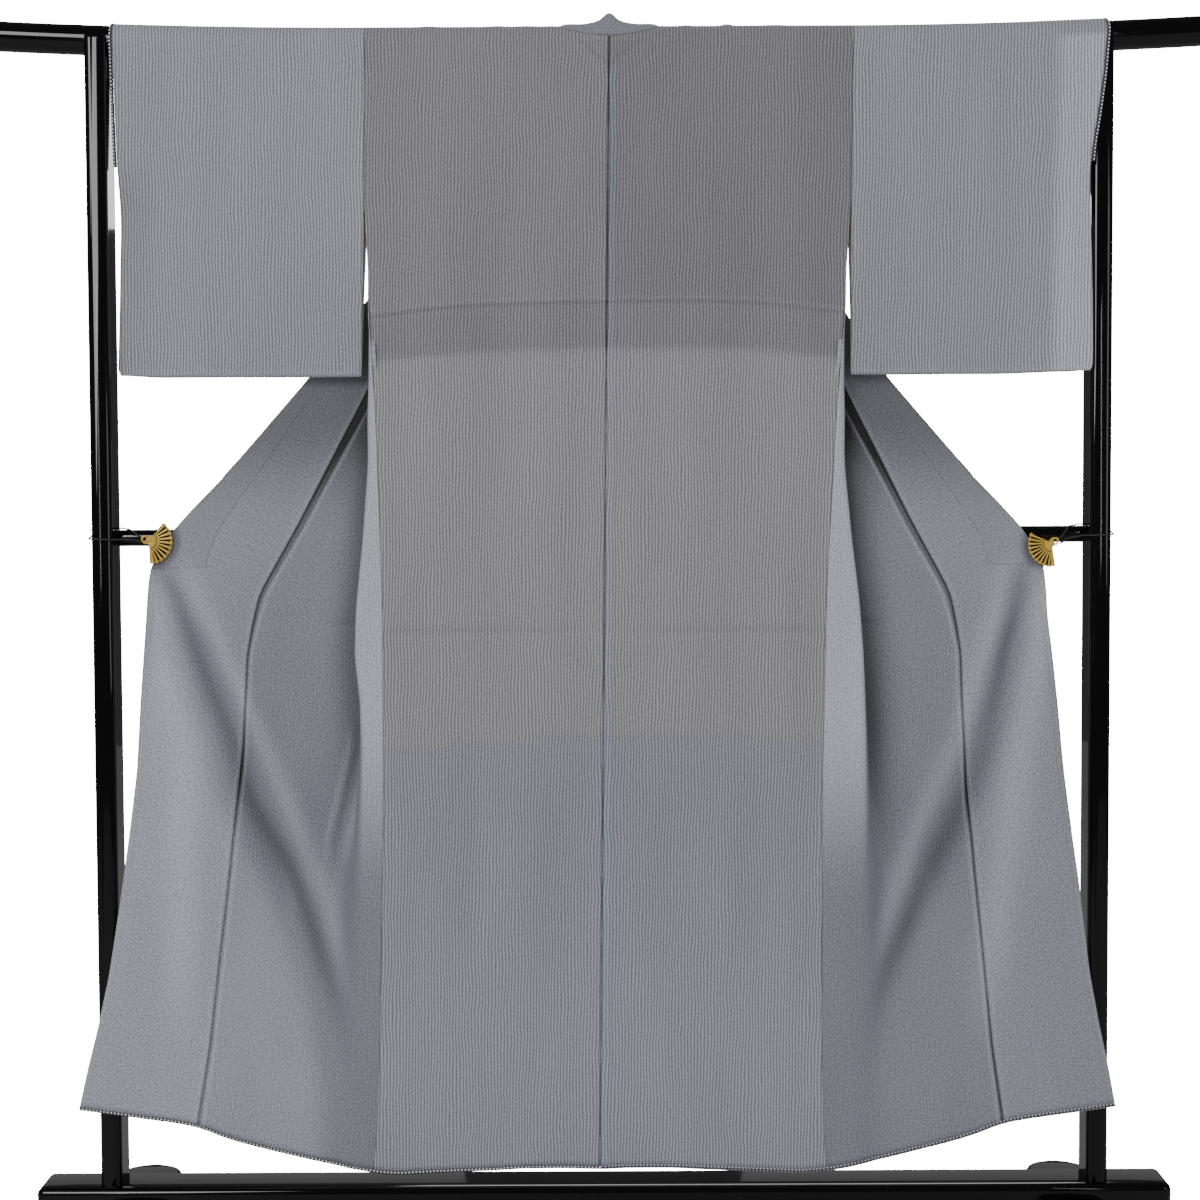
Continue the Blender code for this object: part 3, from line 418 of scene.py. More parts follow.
def buildWeaveGroup():
    # stripes that run along the cloth, a crepe grain and slow changes of tone
    group, inn, out = newGroup("silkWeave", (
        ("Ground", "Color", (0.25, 0.25, 0.28)), ("Stripe", "Color", (0.36, 0.36, 0.39)),
        ("Stripe Pitch", "Float", 0.0042), ("Stripe Strength", "Float", 0.5),
        ("Grain Scale", "Float", 560.0), ("Grain Strength", "Float", 0.3), ("Drift Strength", "Float", 0.1),
    ), (("Color", "Color"), ("Height", "Float"), ("Roughness", "Float")))
    link, calc, noise = group.links.new, partial(mathNode, group), partial(noiseOn, group)
    uv = addNode(group, "ShaderNodeUVMap", uv_map="cloth").outputs["UV"]
    split = addNode(group, "ShaderNodeSeparateXYZ")
    link(uv, split.inputs[0])
    wobble = noise(uv, 1.0, 2.0, 0.5, (13.0, 8.0, 1.0))
    across = calc("MULTIPLY_ADD", calc("SUBTRACT", wobble, 0.5), 0.012, split.outputs["X"])
    ripple = noise(uv, 1.0, 1.0, 0.5, (70.0, 38.0, 1.0))
    across = calc("MULTIPLY_ADD", calc("SUBTRACT", ripple, 0.5), 0.0028, across)
    turns = calc("DIVIDE", across, inn["Stripe Pitch"])
    wave = calc("COSINE", calc("MULTIPLY", turns, 2.0 * math.pi))
    wide = calc("MULTIPLY_ADD", wave, 0.5, 0.5)
    narrow = calc("COSINE", calc("MULTIPLY", turns, 6.0 * math.pi))
    narrow = calc("MULTIPLY_ADD", narrow, 0.5, 0.5)
    lines = calc("MULTIPLY_ADD", calc("SUBTRACT", narrow, wide), 0.3, wide)
    breaks = noise(uv, 1.0, 3.0, 0.6, (700.0, 240.0, 1.0))
    lines = calc("MULTIPLY", lines, stepMask(group, breaks, 0.08, 0.42))
    grain = noise(uv, inn["Grain Scale"], 3.0, 0.65)
    fine = calc("SUBTRACT", grain, 0.5)
    amount = calc("MULTIPLY", lines, inn["Stripe Strength"])
    colour = mixColour(group, amount, inn["Ground"], inn["Stripe"])
    drift = noise(uv, 1.0, 3.0, 0.5, (15.0, 3.0, 1.0))
    drift = calc("MULTIPLY", calc("SUBTRACT", drift, 0.5), inn["Drift Strength"])
    speckle = calc("MULTIPLY", fine, inn["Grain Strength"])
    gain = calc("ADD", calc("ADD", drift, speckle), 1.0)
    scaled = addNode(group, "ShaderNodeVectorMath", operation="SCALE")
    link(colour, scaled.inputs[0])
    link(gain, scaled.inputs["Scale"])
    link(scaled.outputs[0], out["Color"])
    link(calc("MULTIPLY_ADD", lines, 0.35, grain), out["Height"])
    link(calc("MULTIPLY_ADD", fine, 0.25, 0.56), out["Roughness"])
    return group


def buildDotGroup():
    # staggered rows of small pale dots on dark cloth
    group, inn, out = newGroup("dottedCloth", (
        ("Ground", "Color", (0.02, 0.016, 0.035)), ("Dot", "Color", (0.75, 0.75, 0.78)),
        ("Dot Pitch", "Float", 0.006), ("Dot Size", "Float", 0.2),
    ), (("Color", "Color"), ("Height", "Float")))
    link, calc, noise = group.links.new, partial(mathNode, group), partial(noiseOn, group)
    uv = addNode(group, "ShaderNodeUVMap", uv_map="cloth").outputs["UV"]
    split = addNode(group, "ShaderNodeSeparateXYZ")
    link(uv, split.inputs[0])
    row = calc("DIVIDE", split.outputs["Y"], inn["Dot Pitch"])
    shift = calc("MULTIPLY", calc("MODULO", calc("FLOOR", row), 2.0), 0.5)
    col = calc("ADD", calc("DIVIDE", split.outputs["X"], inn["Dot Pitch"]), shift)
    dx = calc("SUBTRACT", calc("FRACT", col), 0.5)
    dy = calc("SUBTRACT", calc("FRACT", row), 0.5)
    reach = calc("SQRT", calc("ADD", calc("MULTIPLY", dx, dx), calc("MULTIPLY", dy, dy)))
    rough = noise(uv, 900.0, 2.0)
    reach = calc("MULTIPLY_ADD", calc("SUBTRACT", rough, 0.5), 0.16, reach)
    inside = calc("LESS_THAN", reach, inn["Dot Size"])
    link(mixColour(group, inside, inn["Ground"], inn["Dot"]), out["Color"])
    link(calc("MULTIPLY_ADD", inside, 0.2, rough), out["Height"])
    return group


def buildWearGroup():
    # faint specks and slow unevenness on polished things
    group, inn, out = newGroup("surfaceWear", (
        ("Base", "Color", (0.01, 0.01, 0.011)), ("Dust", "Color", (0.3, 0.3, 0.3)),
        ("Dust Amount", "Float", 0.05), ("Rough Base", "Float", 0.08), ("Rough Spread", "Float", 0.1),
        ("Scale", "Float", 60.0),
    ), (("Color", "Color"), ("Roughness", "Float"), ("Height", "Float")))
    link, calc, noise = group.links.new, partial(mathNode, group), partial(noiseOn, group)
    place = addNode(group, "ShaderNodeTexCoord").outputs["Object"]
    slow = noise(place, inn["Scale"], 4.0, 0.6)
    specks = stepMask(group, noise(place, 1400.0, 1.0), 0.70, 0.80)
    amount = calc("MULTIPLY", calc("MULTIPLY_ADD", specks, 0.7, slow), inn["Dust Amount"])
    link(mixColour(group, amount, inn["Base"], inn["Dust"]), out["Color"])
    link(calc("MULTIPLY_ADD", slow, inn["Rough Spread"], inn["Rough Base"]), out["Roughness"])
    link(slow, out["Height"])
    return group


weaveGroup = buildWeaveGroup()
dotGroup = buildDotGroup()
wearGroup = buildWearGroup()


def addBump(tree, shader, height, strength, distance):
    # the height tilts the shader's normal
    node = addNode(tree, "ShaderNodeBump")
    node.inputs["Strength"].default_value = strength
    node.inputs["Distance"].default_value = distance
    tree.links.new(height, node.inputs["Height"])
    tree.links.new(node.outputs["Normal"], shader.inputs["Normal"])


def makeSilk(name, silk):
    # striped silk; the tone attribute lightens and darkens it, mostly with painted light and shade and partly with
    # lining that shows through, and the tint attribute warms and cools it
    material, tree, shader = newMaterial(name, Sheen_Weight=silk["sheen"], Sheen_Roughness=0.4,
                                         Specular_IOR_Level=0.35)
    link, calc = tree.links.new, partial(mathNode, tree)
    shader.inputs["Sheen Tint"].default_value = (0.9, 0.9, 1.0, 1.0)
    weave = placeGroup(tree, weaveGroup, Stripe=silk["stripe"], Stripe_Pitch=silk["pitch"],
                       Grain_Scale=silk["grainScale"], Drift_Strength=silk["drift"])
    # where the cloth is pulled aslant the stripes fade and the crepe grain shows more
    slant = addNode(tree, "ShaderNodeAttribute", attribute_name="slant").outputs["Fac"]
    link(mixColour(tree, slant, silk["ground"], silk["even"]), weave.inputs["Ground"])
    link(calc("MULTIPLY_ADD", slant, -0.85 * silk["stripeStrength"], silk["stripeStrength"]),
         weave.inputs["Stripe Strength"])
    link(calc("MULTIPLY_ADD", slant, silk["slantGrain"] - silk["grain"], silk["grain"]),
         weave.inputs["Grain Strength"])
    tone = addNode(tree, "ShaderNodeAttribute", attribute_name="tone").outputs["Fac"]
    tint = addNode(tree, "ShaderNodeAttribute", attribute_name="tint").outputs["Fac"]
    scaled = addNode(tree, "ShaderNodeVectorMath", operation="SCALE")
    link(weave.outputs["Color"], scaled.inputs[0])
    link(calc("ADD", tone, 1.0), scaled.inputs["Scale"])
    warm = calc("MAXIMUM", calc("MULTIPLY", tint, -1.0), 0.0)
    cool = calc("MAXIMUM", tint, 0.0)
    colour = mixColour(tree, warm, scaled.outputs[0], silk["warm"], "MULTIPLY")
    colour = mixColour(tree, cool, colour, silk["cool"], "MULTIPLY")
    link(colour, shader.inputs["Base Color"])
    link(weave.outputs["Roughness"], shader.inputs["Roughness"])
    addBump(tree, shader, weave.outputs["Height"], 0.35, 0.0004)
    return material


silkLook = {
    "ground": (0.112, 0.110, 0.130), "stripe": (0.40, 0.395, 0.43), "pitch": 0.0042,
    "even": (0.197, 0.194, 0.222), "stripeStrength": 0.84, "grain": 1.5, "slantGrain": 2.5, "grainScale": 430.0,
    "drift": 0.24, "sheen": 0.15,
    "warm": (1.0, 1.02, 0.90), "cool": (0.90, 0.98, 1.10),
}
kimonoSilk = makeSilk("kimonoSilk", silkLook)


def makeLining(name, lining):
    # the inside of the robe: pale plain silk above, dark dotted silk below
    material, tree, shader = newMaterial(name, Roughness=0.6, Sheen_Weight=0.2, Specular_IOR_Level=0.3)
    plain = placeGroup(tree, weaveGroup, Ground=lining["pale"], Stripe=lining["paleThread"],
                       Stripe_Pitch=0.0011, Stripe_Strength=0.3, Grain_Strength=0.12, Drift_Strength=0.06)
    dotted = placeGroup(tree, dotGroup, Ground=lining["dark"], Dot=lining["dot"], Dot_Pitch=lining["pitch"],
                        Dot_Size=lining["size"])
    hip = addNode(tree, "ShaderNodeAttribute", attribute_name="hipLining").outputs["Fac"]
    mask = mathNode(tree, "GREATER_THAN", hip, 0.5)
    tree.links.new(mixColour(tree, mask, plain.outputs["Color"], dotted.outputs["Color"]),
                   shader.inputs["Base Color"])
    addBump(tree, shader, plain.outputs["Height"], 0.2, 0.0003)
    return material


liningLook = {
    "pale": (0.72, 0.70, 0.66), "paleThread": (0.80, 0.78, 0.74),
    "dark": (0.030, 0.024, 0.048), "dot": (0.72, 0.72, 0.76), "pitch": 0.0062, "size": 0.19,
}
liningSilk = makeLining("liningSilk", liningLook)


def makeDotted(name, lining):
    # the padded edges: dark cloth with larger dots set closer
    material, tree, shader = newMaterial(name, Roughness=0.55, Sheen_Weight=0.25, Specular_IOR_Level=0.35)
    dotted = placeGroup(tree, dotGroup, Ground=lining["dark"], Dot=lining["dot"], Dot_Pitch=0.0047,
                        Dot_Size=0.27)
    tree.links.new(dotted.outputs["Color"], shader.inputs["Base Color"])
    addBump(tree, shader, dotted.outputs["Height"], 0.3, 0.0003)
    return material


dottedSilk = makeDotted("dottedSilk", liningLook)


def makePolished(name, base, dust, amount, rough, spread, scale, relief=0.06, **shaderValues):
    # base colour with some dust over it, and a roughness that wanders by its spread
    material, tree, shader = newMaterial(name, **shaderValues)
    wear = placeGroup(tree, wearGroup, Base=base, Dust=dust, Dust_Amount=amount, Rough_Base=rough,
                      Rough_Spread=spread, Scale=scale)
    tree.links.new(wear.outputs["Color"], shader.inputs["Base Color"])
    tree.links.new(wear.outputs["Roughness"], shader.inputs["Roughness"])
    addBump(tree, shader, wear.outputs["Height"], relief, 0.0005)
    return material


blackLacquer = makePolished("blackLacquer", (0.0010, 0.0010, 0.0012), (0.12, 0.12, 0.12), 0.010, 0.035, 0.03, 9.0,
                            0.008, Specular_IOR_Level=0.5, Coat_Weight=0.35, Coat_Roughness=0.02)
giltMetal = makePolished("giltMetal", (1.0, 0.68, 0.12), (0.62, 0.32, 0.03), 0.50, 0.14, 0.22, 330.0, 0.30,
                         Metallic=0.50)
elasticBlack = makePolished("elasticBlack", (0.012, 0.012, 0.013), (0.08, 0.08, 0.08), 0.5, 0.7, 0.2, 900.0)
floorMaterial = makePolished("paleFloor", (studio["floor"],) * 3, (0.80,) * 3, 0.2, 0.55, 0.1, 2.0)
floorTree = floorMaterial.node_tree
floorRays = addNode(floorTree, "ShaderNodeLightPath")
floorShader = floorTree.nodes["Principled BSDF"]
# the polished stand mirrors a dim floor
floorTree.links.new(mixColour(floorTree, floorRays.outputs["Is Glossy Ray"], (studio["floor"],) * 3,
                              (studio["floorMirrored"],) * 3), floorShader.inputs["Base Color"])
floorShader.inputs["Emission Color"].default_value = (1.0, 1.0, 1.0, 1.0)
floorTree.links.new(mathNode(floorTree, "MULTIPLY", floorRays.outputs["Is Camera Ray"], studio["white"]),
                    floorShader.inputs["Emission Strength"])
floor.data.materials.append(floorMaterial)
print("materials ready")

robe = {
    "gap": 0.0003, "wall": 0.0013, "cadWall": 0.002,
    "backY": -0.0215, "wrap": 0.0215, "barHeight": 1.598,
    "frontWidth": 0.24, "armhole": 0.3165, "sideSeamTop": 1.25,
    "kensaki": 1.3885, "collarEnd": 0.915, "collarWidth": 0.055,
    "leanBase": -0.007, "leanSlope": 0.0125, "hemLevel": 0.1745,
    "tuck": 1.2634, "storageFold": 0.829, "liningTop": 0.69, "cool": 0.25,
}
# how far the turned-in cloth reaches, and how deep it lies behind the sheet
allowance = {"wide": 0.006, "narrow": 0.0006, "free": 0.0004, "deepBack": 0.0013, "deepFront": 0.0026}
# half width of the back at the side seam
sideLine = {
    "z": (0.1125, 0.175, 0.254, 0.418, 0.629, 0.870, 1.07, 1.24, 1.388, 1.65),
    "x": (0.3018, 0.2965, 0.2938, 0.2915, 0.290, 0.292, 0.2995, 0.309, 0.3165, 0.3165),
}
# half width of the front panel's inner edge
innerLine = {
    "z": (0.17, 0.28, 0.40, 0.53, 0.65, 0.74, 0.80, 0.84, 0.88, 0.92, 0.97, 1.04, 1.14, 1.40, 1.50, 1.55, 1.598),
    "x": (0.535, 0.5185, 0.507, 0.494, 0.4815, 0.473, 0.471, 0.464, 0.455, 0.433, 0.405, 0.3695, 0.318, 0.201,
          0.132, 0.097, 0.058),
}
# half width of the outer edge
edgeLine = {
    "z": (0.19, 0.256, 0.31, 0.38, 0.48, 0.56, 0.65, 0.735, 0.84, 0.89, 0.92, 0.966, 1.062, 1.165, 1.25, 1.40, 1.55,
          1.598),
    "x": (0.6865, 0.673, 0.660, 0.6455, 0.631, 0.6205, 0.6095, 0.6035, 0.594, 0.592, 0.588, 0.5585, 0.470, 0.382,
          0.323, 0.220, 0.116, 0.083),
}
# side fold: start angle in degrees, strip width, nose radius, turn in degrees
foldLine = {
    "z": (0.10, 0.20, 0.34, 0.47, 0.60, 0.72, 0.80, 0.87, 0.95, 1.05, 1.10, 1.165, 1.25, 1.30, 1.37, 1.60),
    "start": (0, 0, 0, 0, 0, 0, 0, 0, 0, 0, 5, 40, 90, 105, 180, 180),
    "strip": (0.030, 0.030, 0.032, 0.036, 0.040, 0.040, 0.038, 0.033, 0.021, 0.006, 0.002, 0, 0, 0, 0, 0),
    "nose": (0.060, 0.055, 0.045, 0.030, 0.018, 0.0095, 0.0062, 0.0050, 0.0046, 0.0072, 0.0098, 0.0135, 0.032, 0.030,
             0.012, 0.012),
    "turn": (13, 18, 36, 64, 100, 142, 172, 180, 180, 180, 180, 180, 180, 180, 180, 180),
}
hangLine = {
    "z": (0.10, 0.50, 0.60, 0.74, 0.87, 0.95, 1.05, 1.165, 1.25, 1.39, 1.60),
    "edge": (-0.037, -0.0345, -0.025, -0.015, -0.007, -0.004, 0.005, 0.017, 0.024, 0.033, 0.033),
}
hemLine = {
    "x": (0.0, 0.10, 0.20, 0.27, 0.31, 0.37, 0.40, 0.45, 0.49, 0.53, 0.56, 0.62, 0.70),
    "z": (0.119, 0.122, 0.116, 0.113, 0.117, 0.129, 0.136, 0.149, 0.161, 0.178, 0.185, 0.195, 0.207),
}
neckLine = {
    "angle": (0, 15.5, 16.3, 18, 21, 26, 34, 44, 54, 66, 78, 104, 130, 156),
    "x": (0.0, 0.0, 0.008, 0.0150, 0.0235, 0.0345, 0.0460, 0.0555, 0.0620, 0.0662, 0.0690, 0.0720, 0.0745, 0.0758),
}
# the horizontal tuck across the back, against signed width
tuckLine = {
    "x": (-0.31, -0.26, -0.17, 0.0, 0.13, 0.20, 0.26, 0.31),
    "z": (1.2440, 1.2520, 1.2600, 1.2634, 1.2640, 1.2610, 1.2545, 1.2470),
}


def sideX(z):
    # half width of the side seam
    return np.interp(z, sideLine["z"], sideLine["x"])


def barCentre(x):
    # the bar's ends sweep up
    rise = np.maximum(np.abs(x) - 0.3, 0.0)
    return robe["barHeight"] + 0.054 * rise * rise


def hemHeight(x):
    # height of the hem at a half width
    return averaged(np.abs(x), hemLine["x"], hemLine["z"], (-0.012, 0.0, 0.012))


def slopedHeight(level, x):
    # rows are level at the hip and follow the hem line further down
    return level + (hemHeight(x) - robe["hemLevel"]) * falling(level, robe["hemLevel"], 0.88)


def edgeX(z, side):
    # half width of the outer edge, a little wider on the left
    widen = np.interp(z, (0.1, 0.5, 0.65, 0.85, 1.165, 1.4), (0.005, 0.002, 0.004, 0.010, 0.0115, 0.0))
    return readTable(edgeLine, "x", z) - side * widen


def collarShow(z):
    # width of collar seen from the back, before it turns over
    return np.interp(z, (0.91, 0.966, 1.062, 1.165, 1.6), (0.075, 0.060, 0.038, 0.019, 0.019))


def foldState(z, side):
    # numbers of the folded-back front at each height
    z = np.asarray(z, float)
    start = np.radians(readTable(foldLine, "start", z))
    turn = np.radians(readTable(foldLine, "turn", z))
    strip = readTable(foldLine, "strip", z) * (1.0 + 0.14 * side)
    if side < 0:
        strip = strip * np.interp(z, (0.60, 0.68, 0.74, 0.80, 0.86), (0.50, 0.52, 0.64, 0.92, 1.0))
    nose = readTable(foldLine, "nose", z)
    roll = np.interp(z, (0.1, 0.34, 0.5, 0.65, 0.87, 0.95, 1.05, 1.6),
                     (0.07, 0.05, 0.025, 0.009, 0.0055, 0.0045, 0.0055, 0.006))
    free = soften(z, robe["sideSeamTop"], 1.37)
    px = sideX(z) + 0.5 * robe["gap"] + 0.5 * robe["cadWall"] * np.sin(start)
    py = robe["backY"] - 0.5 * robe["cadWall"] * np.sin(start) * (1.0 - free)
    py = py + soften(z, robe["sideSeamTop"], 1.29) * 0.010 + soften(z, 1.27, 1.375) * 0.033
    first = nose * (turn - start)
    second = roll * turn
    reach = readTable(innerLine, "x", z) - px - strip - nose * (np.sin(turn) - np.sin(start))
    reach = reach + np.cos(turn) * (strip + first) - roll * np.sin(turn) - robe["frontWidth"] + second
    back = np.maximum(reach / (np.cos(turn) - 1.0), strip + first + 0.004)
    longest = np.interp(z, (0.1, 0.4, 0.6, 0.75, 0.85), (0.010, 0.016, 0.030, 0.050, 0.25))
    back = np.minimum(back, strip + first + longest)
    return {"start": start, "turn": turn, "strip": strip, "nose": nose, "roll": roll, "px": px, "py": py,
            "first": first, "second": second, "back": back}


def wingFolds(x, z, side):
    # soft troughs and ridges that run down from the clip
    trough = np.interp(z, (0.33, 0.49, 0.60, 0.70, 0.88), (0.36, 0.42, 0.46, 0.49, 0.56))
    trough = trough + (side > 0) * np.interp(z, (0.45, 0.60, 0.72, 0.90), (0.0, 0.020, 0.024, -0.008))
    ridge = np.interp(z, (0.15, 0.40, 0.66, 0.87), (0.545, 0.53, 0.545, 0.560))
    inner = np.interp(z, (0.20, 0.33, 0.475, 0.66, 0.85), (0.36, 0.335, 0.375, 0.455, 0.53))
    broad = np.interp(z, (0.2, 0.6, 0.9), (0.032, 0.026, 0.014))
    fade = soften(z, 0.22, 0.42) * falling(z, 0.80, 0.90)
    depth = 0.015 * bump(x, trough, broad) * fade
    depth = depth - 0.008 * bump(x, ridge + 0.03, broad * 1.3) * fade
    return depth - 0.006 * bump(x, inner - 0.015, broad) * fade


def frontSection(a, z, side):
    # strip, round nose, return run, roll and free run, as arc lengths a from the side seam
    s = foldState(z, side)
    a1, a2, turn = s["strip"], s["back"], s["turn"]
    c1 = np.clip(a, 0.0, a1)
    f1 = s["start"] + np.clip(a - a1, 0.0, s["first"]) / s["nose"]
    c2 = np.clip(a - a1 - s["first"], 0.0, a2 - a1 - s["first"])
    f2 = turn - np.clip(a - a2, 0.0, s["second"]) / s["roll"]
    tail = np.maximum(a - a2 - s["second"], 0.0)
    noseX = s["px"] + c1 + s["nose"] * (np.sin(f1) - np.sin(s["start"])) + np.cos(turn) * c2
    rollX = noseX + s["roll"] * (np.sin(turn) - np.sin(f2))
    y = s["py"] + s["nose"] * (np.cos(s["start"]) - np.cos(f1)) + np.sin(turn) * c2
    y = y + s["roll"] * (np.cos(f2) - np.cos(turn))
    startX = s["px"] + a1 + s["nose"] * (np.sin(turn) - np.sin(s["start"]))
    startX = startX + np.cos(turn) * (a2 - a1 - s["first"]) + s["roll"] * np.sin(turn)
    run = np.maximum(robe["frontWidth"] - a2 - s["second"], 0.004)
    fit = np.where(z < 1.50, (readTable(innerLine, "x", z) - startX) / run, 1.0)
    fit = 1.0 + (fit - 1.0) * falling(z, 1.45, 1.52)
    x = rollX + np.minimum(tail, run) * fit + np.maximum(tail - run, 0.0)
    width = np.maximum(edgeX(z, side) - startX, 0.02)
    along = np.where(tail > 0.0, np.clip((x - startX) / width, 0.0, 1.0), 0.0)
    goal = readTable(hangLine, "edge", z)
    y = y + (goal - y) * soften(along, 0.0, 1.0) * falling(z, 1.20, 1.35)
    return x, y + wingFolds(x, z, side) * soften(along, 0.04, 0.25)


def tuckHeight(signed):
    # height of the horizontal tuck at a signed width
    return averaged(signed, tuckLine["x"], tuckLine["z"], (-0.03, -0.015, 0.0, 0.015, 0.03))


def backDepth(x, z, side):
    # flat and hanging, with faint long waves; a stepped tuck and a pressed fold beside the centre seam
    share = np.clip(np.abs(x) / sideX(z), 0.0, 1.0)
    hold = soften(share, 0.0, 0.10) * falling(share, 0.80, 1.0) * falling(z, 1.30, 1.56)
    wave = 0.0022 * np.sin(11.0 * share + 2.0 * z) * hold
    low = -0.004 * np.sin(math.pi * share) * falling(z, 0.2, 0.7)
    depth = robe["backY"] + wave + low * falling(share, 0.86, 1.0)
    edges = soften(share, 0.0, 0.04) * falling(share, 0.95, 1.0)
    above = z - tuckHeight(side * x)
    step = -0.0011 * soften(above, -0.0006, 0.0012) * falling(above, 0.004, 0.030)
    band = -0.0005 * soften(above, -0.066, -0.058) * falling(above, -0.010, 0.0)
    groove = 0.0007 * bump(above, -0.0015, 0.0022)
    depth = depth + (step + band + groove) * (0.4 + 0.6 * edges)
    if side > 0:
        depth = depth - 0.0008 * soften(x, 0.0006, 0.0020) * falling(x, 0.0090, 0.0125)
    else:
        depth = depth + 0.0004 * falling(x, 0.0004, 0.0060)
    crease = 0.0012 * bump(z, robe["storageFold"] + 0.004 * np.sin(9.0 * x), 0.0026)
    return depth + crease * hold


frontLevels = np.concatenate([np.linspace(1.598, 1.30, 46), np.linspace(1.294, 0.95, 52),
                              np.linspace(0.944, robe["hemLevel"], 100)])


def buildBody(side):
    # back hem, up the back, round the bar and down the opened front; one cloth
    body = {"counts": (12, 14, 6, 12, 32, 10), "coarse": (1, 4, 1, 5, 4, 1), "backRows": 206}
    cols = sum(body["counts"]) + 1
    stretch = np.interp(np.arange(cols), np.cumsum((0,) + body["counts"]), np.arange(7))
    marks = np.cumsum((0,) + body["coarse"]) / float(sum(body["coarse"]))
    coarseShare = 1.0 - np.interp(stretch, np.arange(7), marks)
    half = 0.5 * robe["gap"]
    # back columns are close together at both seams
    t = np.linspace(1.0, 0.0, cols)
    fine = t - 0.115 * np.sin(2.0 * math.pi * t)
    levels = np.interp(np.linspace(0.0, 1.0, body["backRows"]), (0.0, 0.70, 0.715, 0.76, 0.775, 0.93, 1.0),
                       (robe["hemLevel"], 1.180, 1.196, 1.2555, 1.2700, 1.52, 1.598))[:, None]
    x = half + (sideX(levels) - robe["gap"]) * fine[None, :]
    z = slopedHeight(levels, x)
    tuck = robe["tuck"]
    z = z + (tuckHeight(side * x) - tuck) * soften(z, 1.10, tuck) * falling(z, tuck, 1.42)
    x = half + (sideX(z) - robe["gap"]) * fine[None, :]
    back = toWorld(x, backDepth(x, z, side), z, side)
    backCloth = gridOf(x, z)
    # half round the bar, the neck hole cut out of the inner edge
    angle = np.concatenate([(3.0, 7.0, 11.0, 14.0, 15.5, 16.3, 17.2, 18.0, 19.5, 21.0, 23.5, 26.0, 30.0),
                            np.arange(34.0, 157.0, 6.1)])[:, None]
    inner = np.interp(angle, neckLine["angle"], neckLine["x"])
    mix = soften(angle, 10.0, 140.0)
    share = fine[None, :] * (1.0 - mix) + coarseShare[None, :] * mix
    xw = inner + half + (robe["armhole"] - inner - robe["gap"]) * share
    turn = np.radians(angle)
    zw = barCentre(side * xw + lean(robe["barHeight"])) + robe["wrap"] * np.sin(turn)
    rucks = sum(high * bump(side * xw, where, wide) for where, wide, high in (
        (-0.145, 0.010, 0.0010), (-0.108, 0.014, 0.0008), (-0.075, 0.008, 0.0006), (0.100, 0.007, 0.0008),
        (0.153, 0.006, 0.0022), (0.215, 0.015, 0.0008), (-0.235, 0.012, 0.0007)))
    zw = zw + rucks * np.sin(turn)
    wrap = toWorld(xw, -robe["wrap"] * np.cos(turn), zw, side)
    wrapCloth = gridOf(xw, robe["barHeight"] + robe["wrap"] * turn)
    # the front, section by section
    level = frontLevels[:, None]
    s = foldState(level, side)
    end = robe["frontWidth"] - half
    breaks = [np.zeros_like(level), s["strip"], s["strip"] + s["first"], s["back"], s["back"] + s["second"],
              np.full_like(level, end - 0.016), np.full_like(level, end)]
    for i in range(1, 6):
        breaks[i] = np.minimum(np.maximum(breaks[i], breaks[i - 1] + 0.003), end - 0.016 - 0.003 * (5 - i))
    breaks = np.concatenate(breaks, axis=1)
    low = np.clip(stretch.astype(int), 0, 5)
    part = (stretch - low)[None, :]
    a = breaks[:, low] * (1.0 - part) + breaks[:, low + 1] * part
    xf, yf = frontSection(a, level, side)
    zf = slopedHeight(level, xf)
    xf, yf = frontSection(a, zf, side)
    yf = yf + wingCreases(xf, zf, side) * soften(a - breaks[:, 4:5], 0.0, 0.05)
    top = np.arange(len(frontLevels))[:, None] == 0
    zf = np.where(top, barCentre(side * xf + lean(robe["barHeight"])), zf)
    front = toWorld(xf, yf, zf, side)
    frontCloth = gridOf(robe["armhole"] - a, 2.0 * robe["barHeight"] + math.pi * robe["wrap"] - zf)
    # two rows between the bar and the free front
    join = [wrap[-1] * (1.0 - k) + front[0] * k for k in (0.33, 0.67)]
    joinCloth = [wrapCloth[-1] * (1.0 - k) + frontCloth[0] * k for k in (0.33, 0.67)]
    points = np.concatenate([back, wrap, np.array(join), front])
    cloth = np.concatenate([backCloth, wrapCloth, np.array(joinCloth), frontCloth])
    middle = np.zeros((len(wrap) + 2, cols))
    # the cloth over the bar carries the upper back's darker tone and the painted shade of its centre seam
    over = -upperShade(side) * falling(angle, 20.0, 100.0) - centreSeamShade(xw)
    over = np.concatenate([over, middle[:2]])
    tone = np.concatenate([backTone(x, z, side), over, frontTone(a, xf, zf, side)])
    tint = np.concatenate([backTint(x, z, side), middle, np.full(zf.shape, robe["cool"])])
    hip = np.concatenate([z < robe["liningTop"], middle > 1.0, zf < robe["liningTop"]]).astype(float)
    slant = np.concatenate([0.0 * z, middle, np.full(zf.shape, 0.85)])
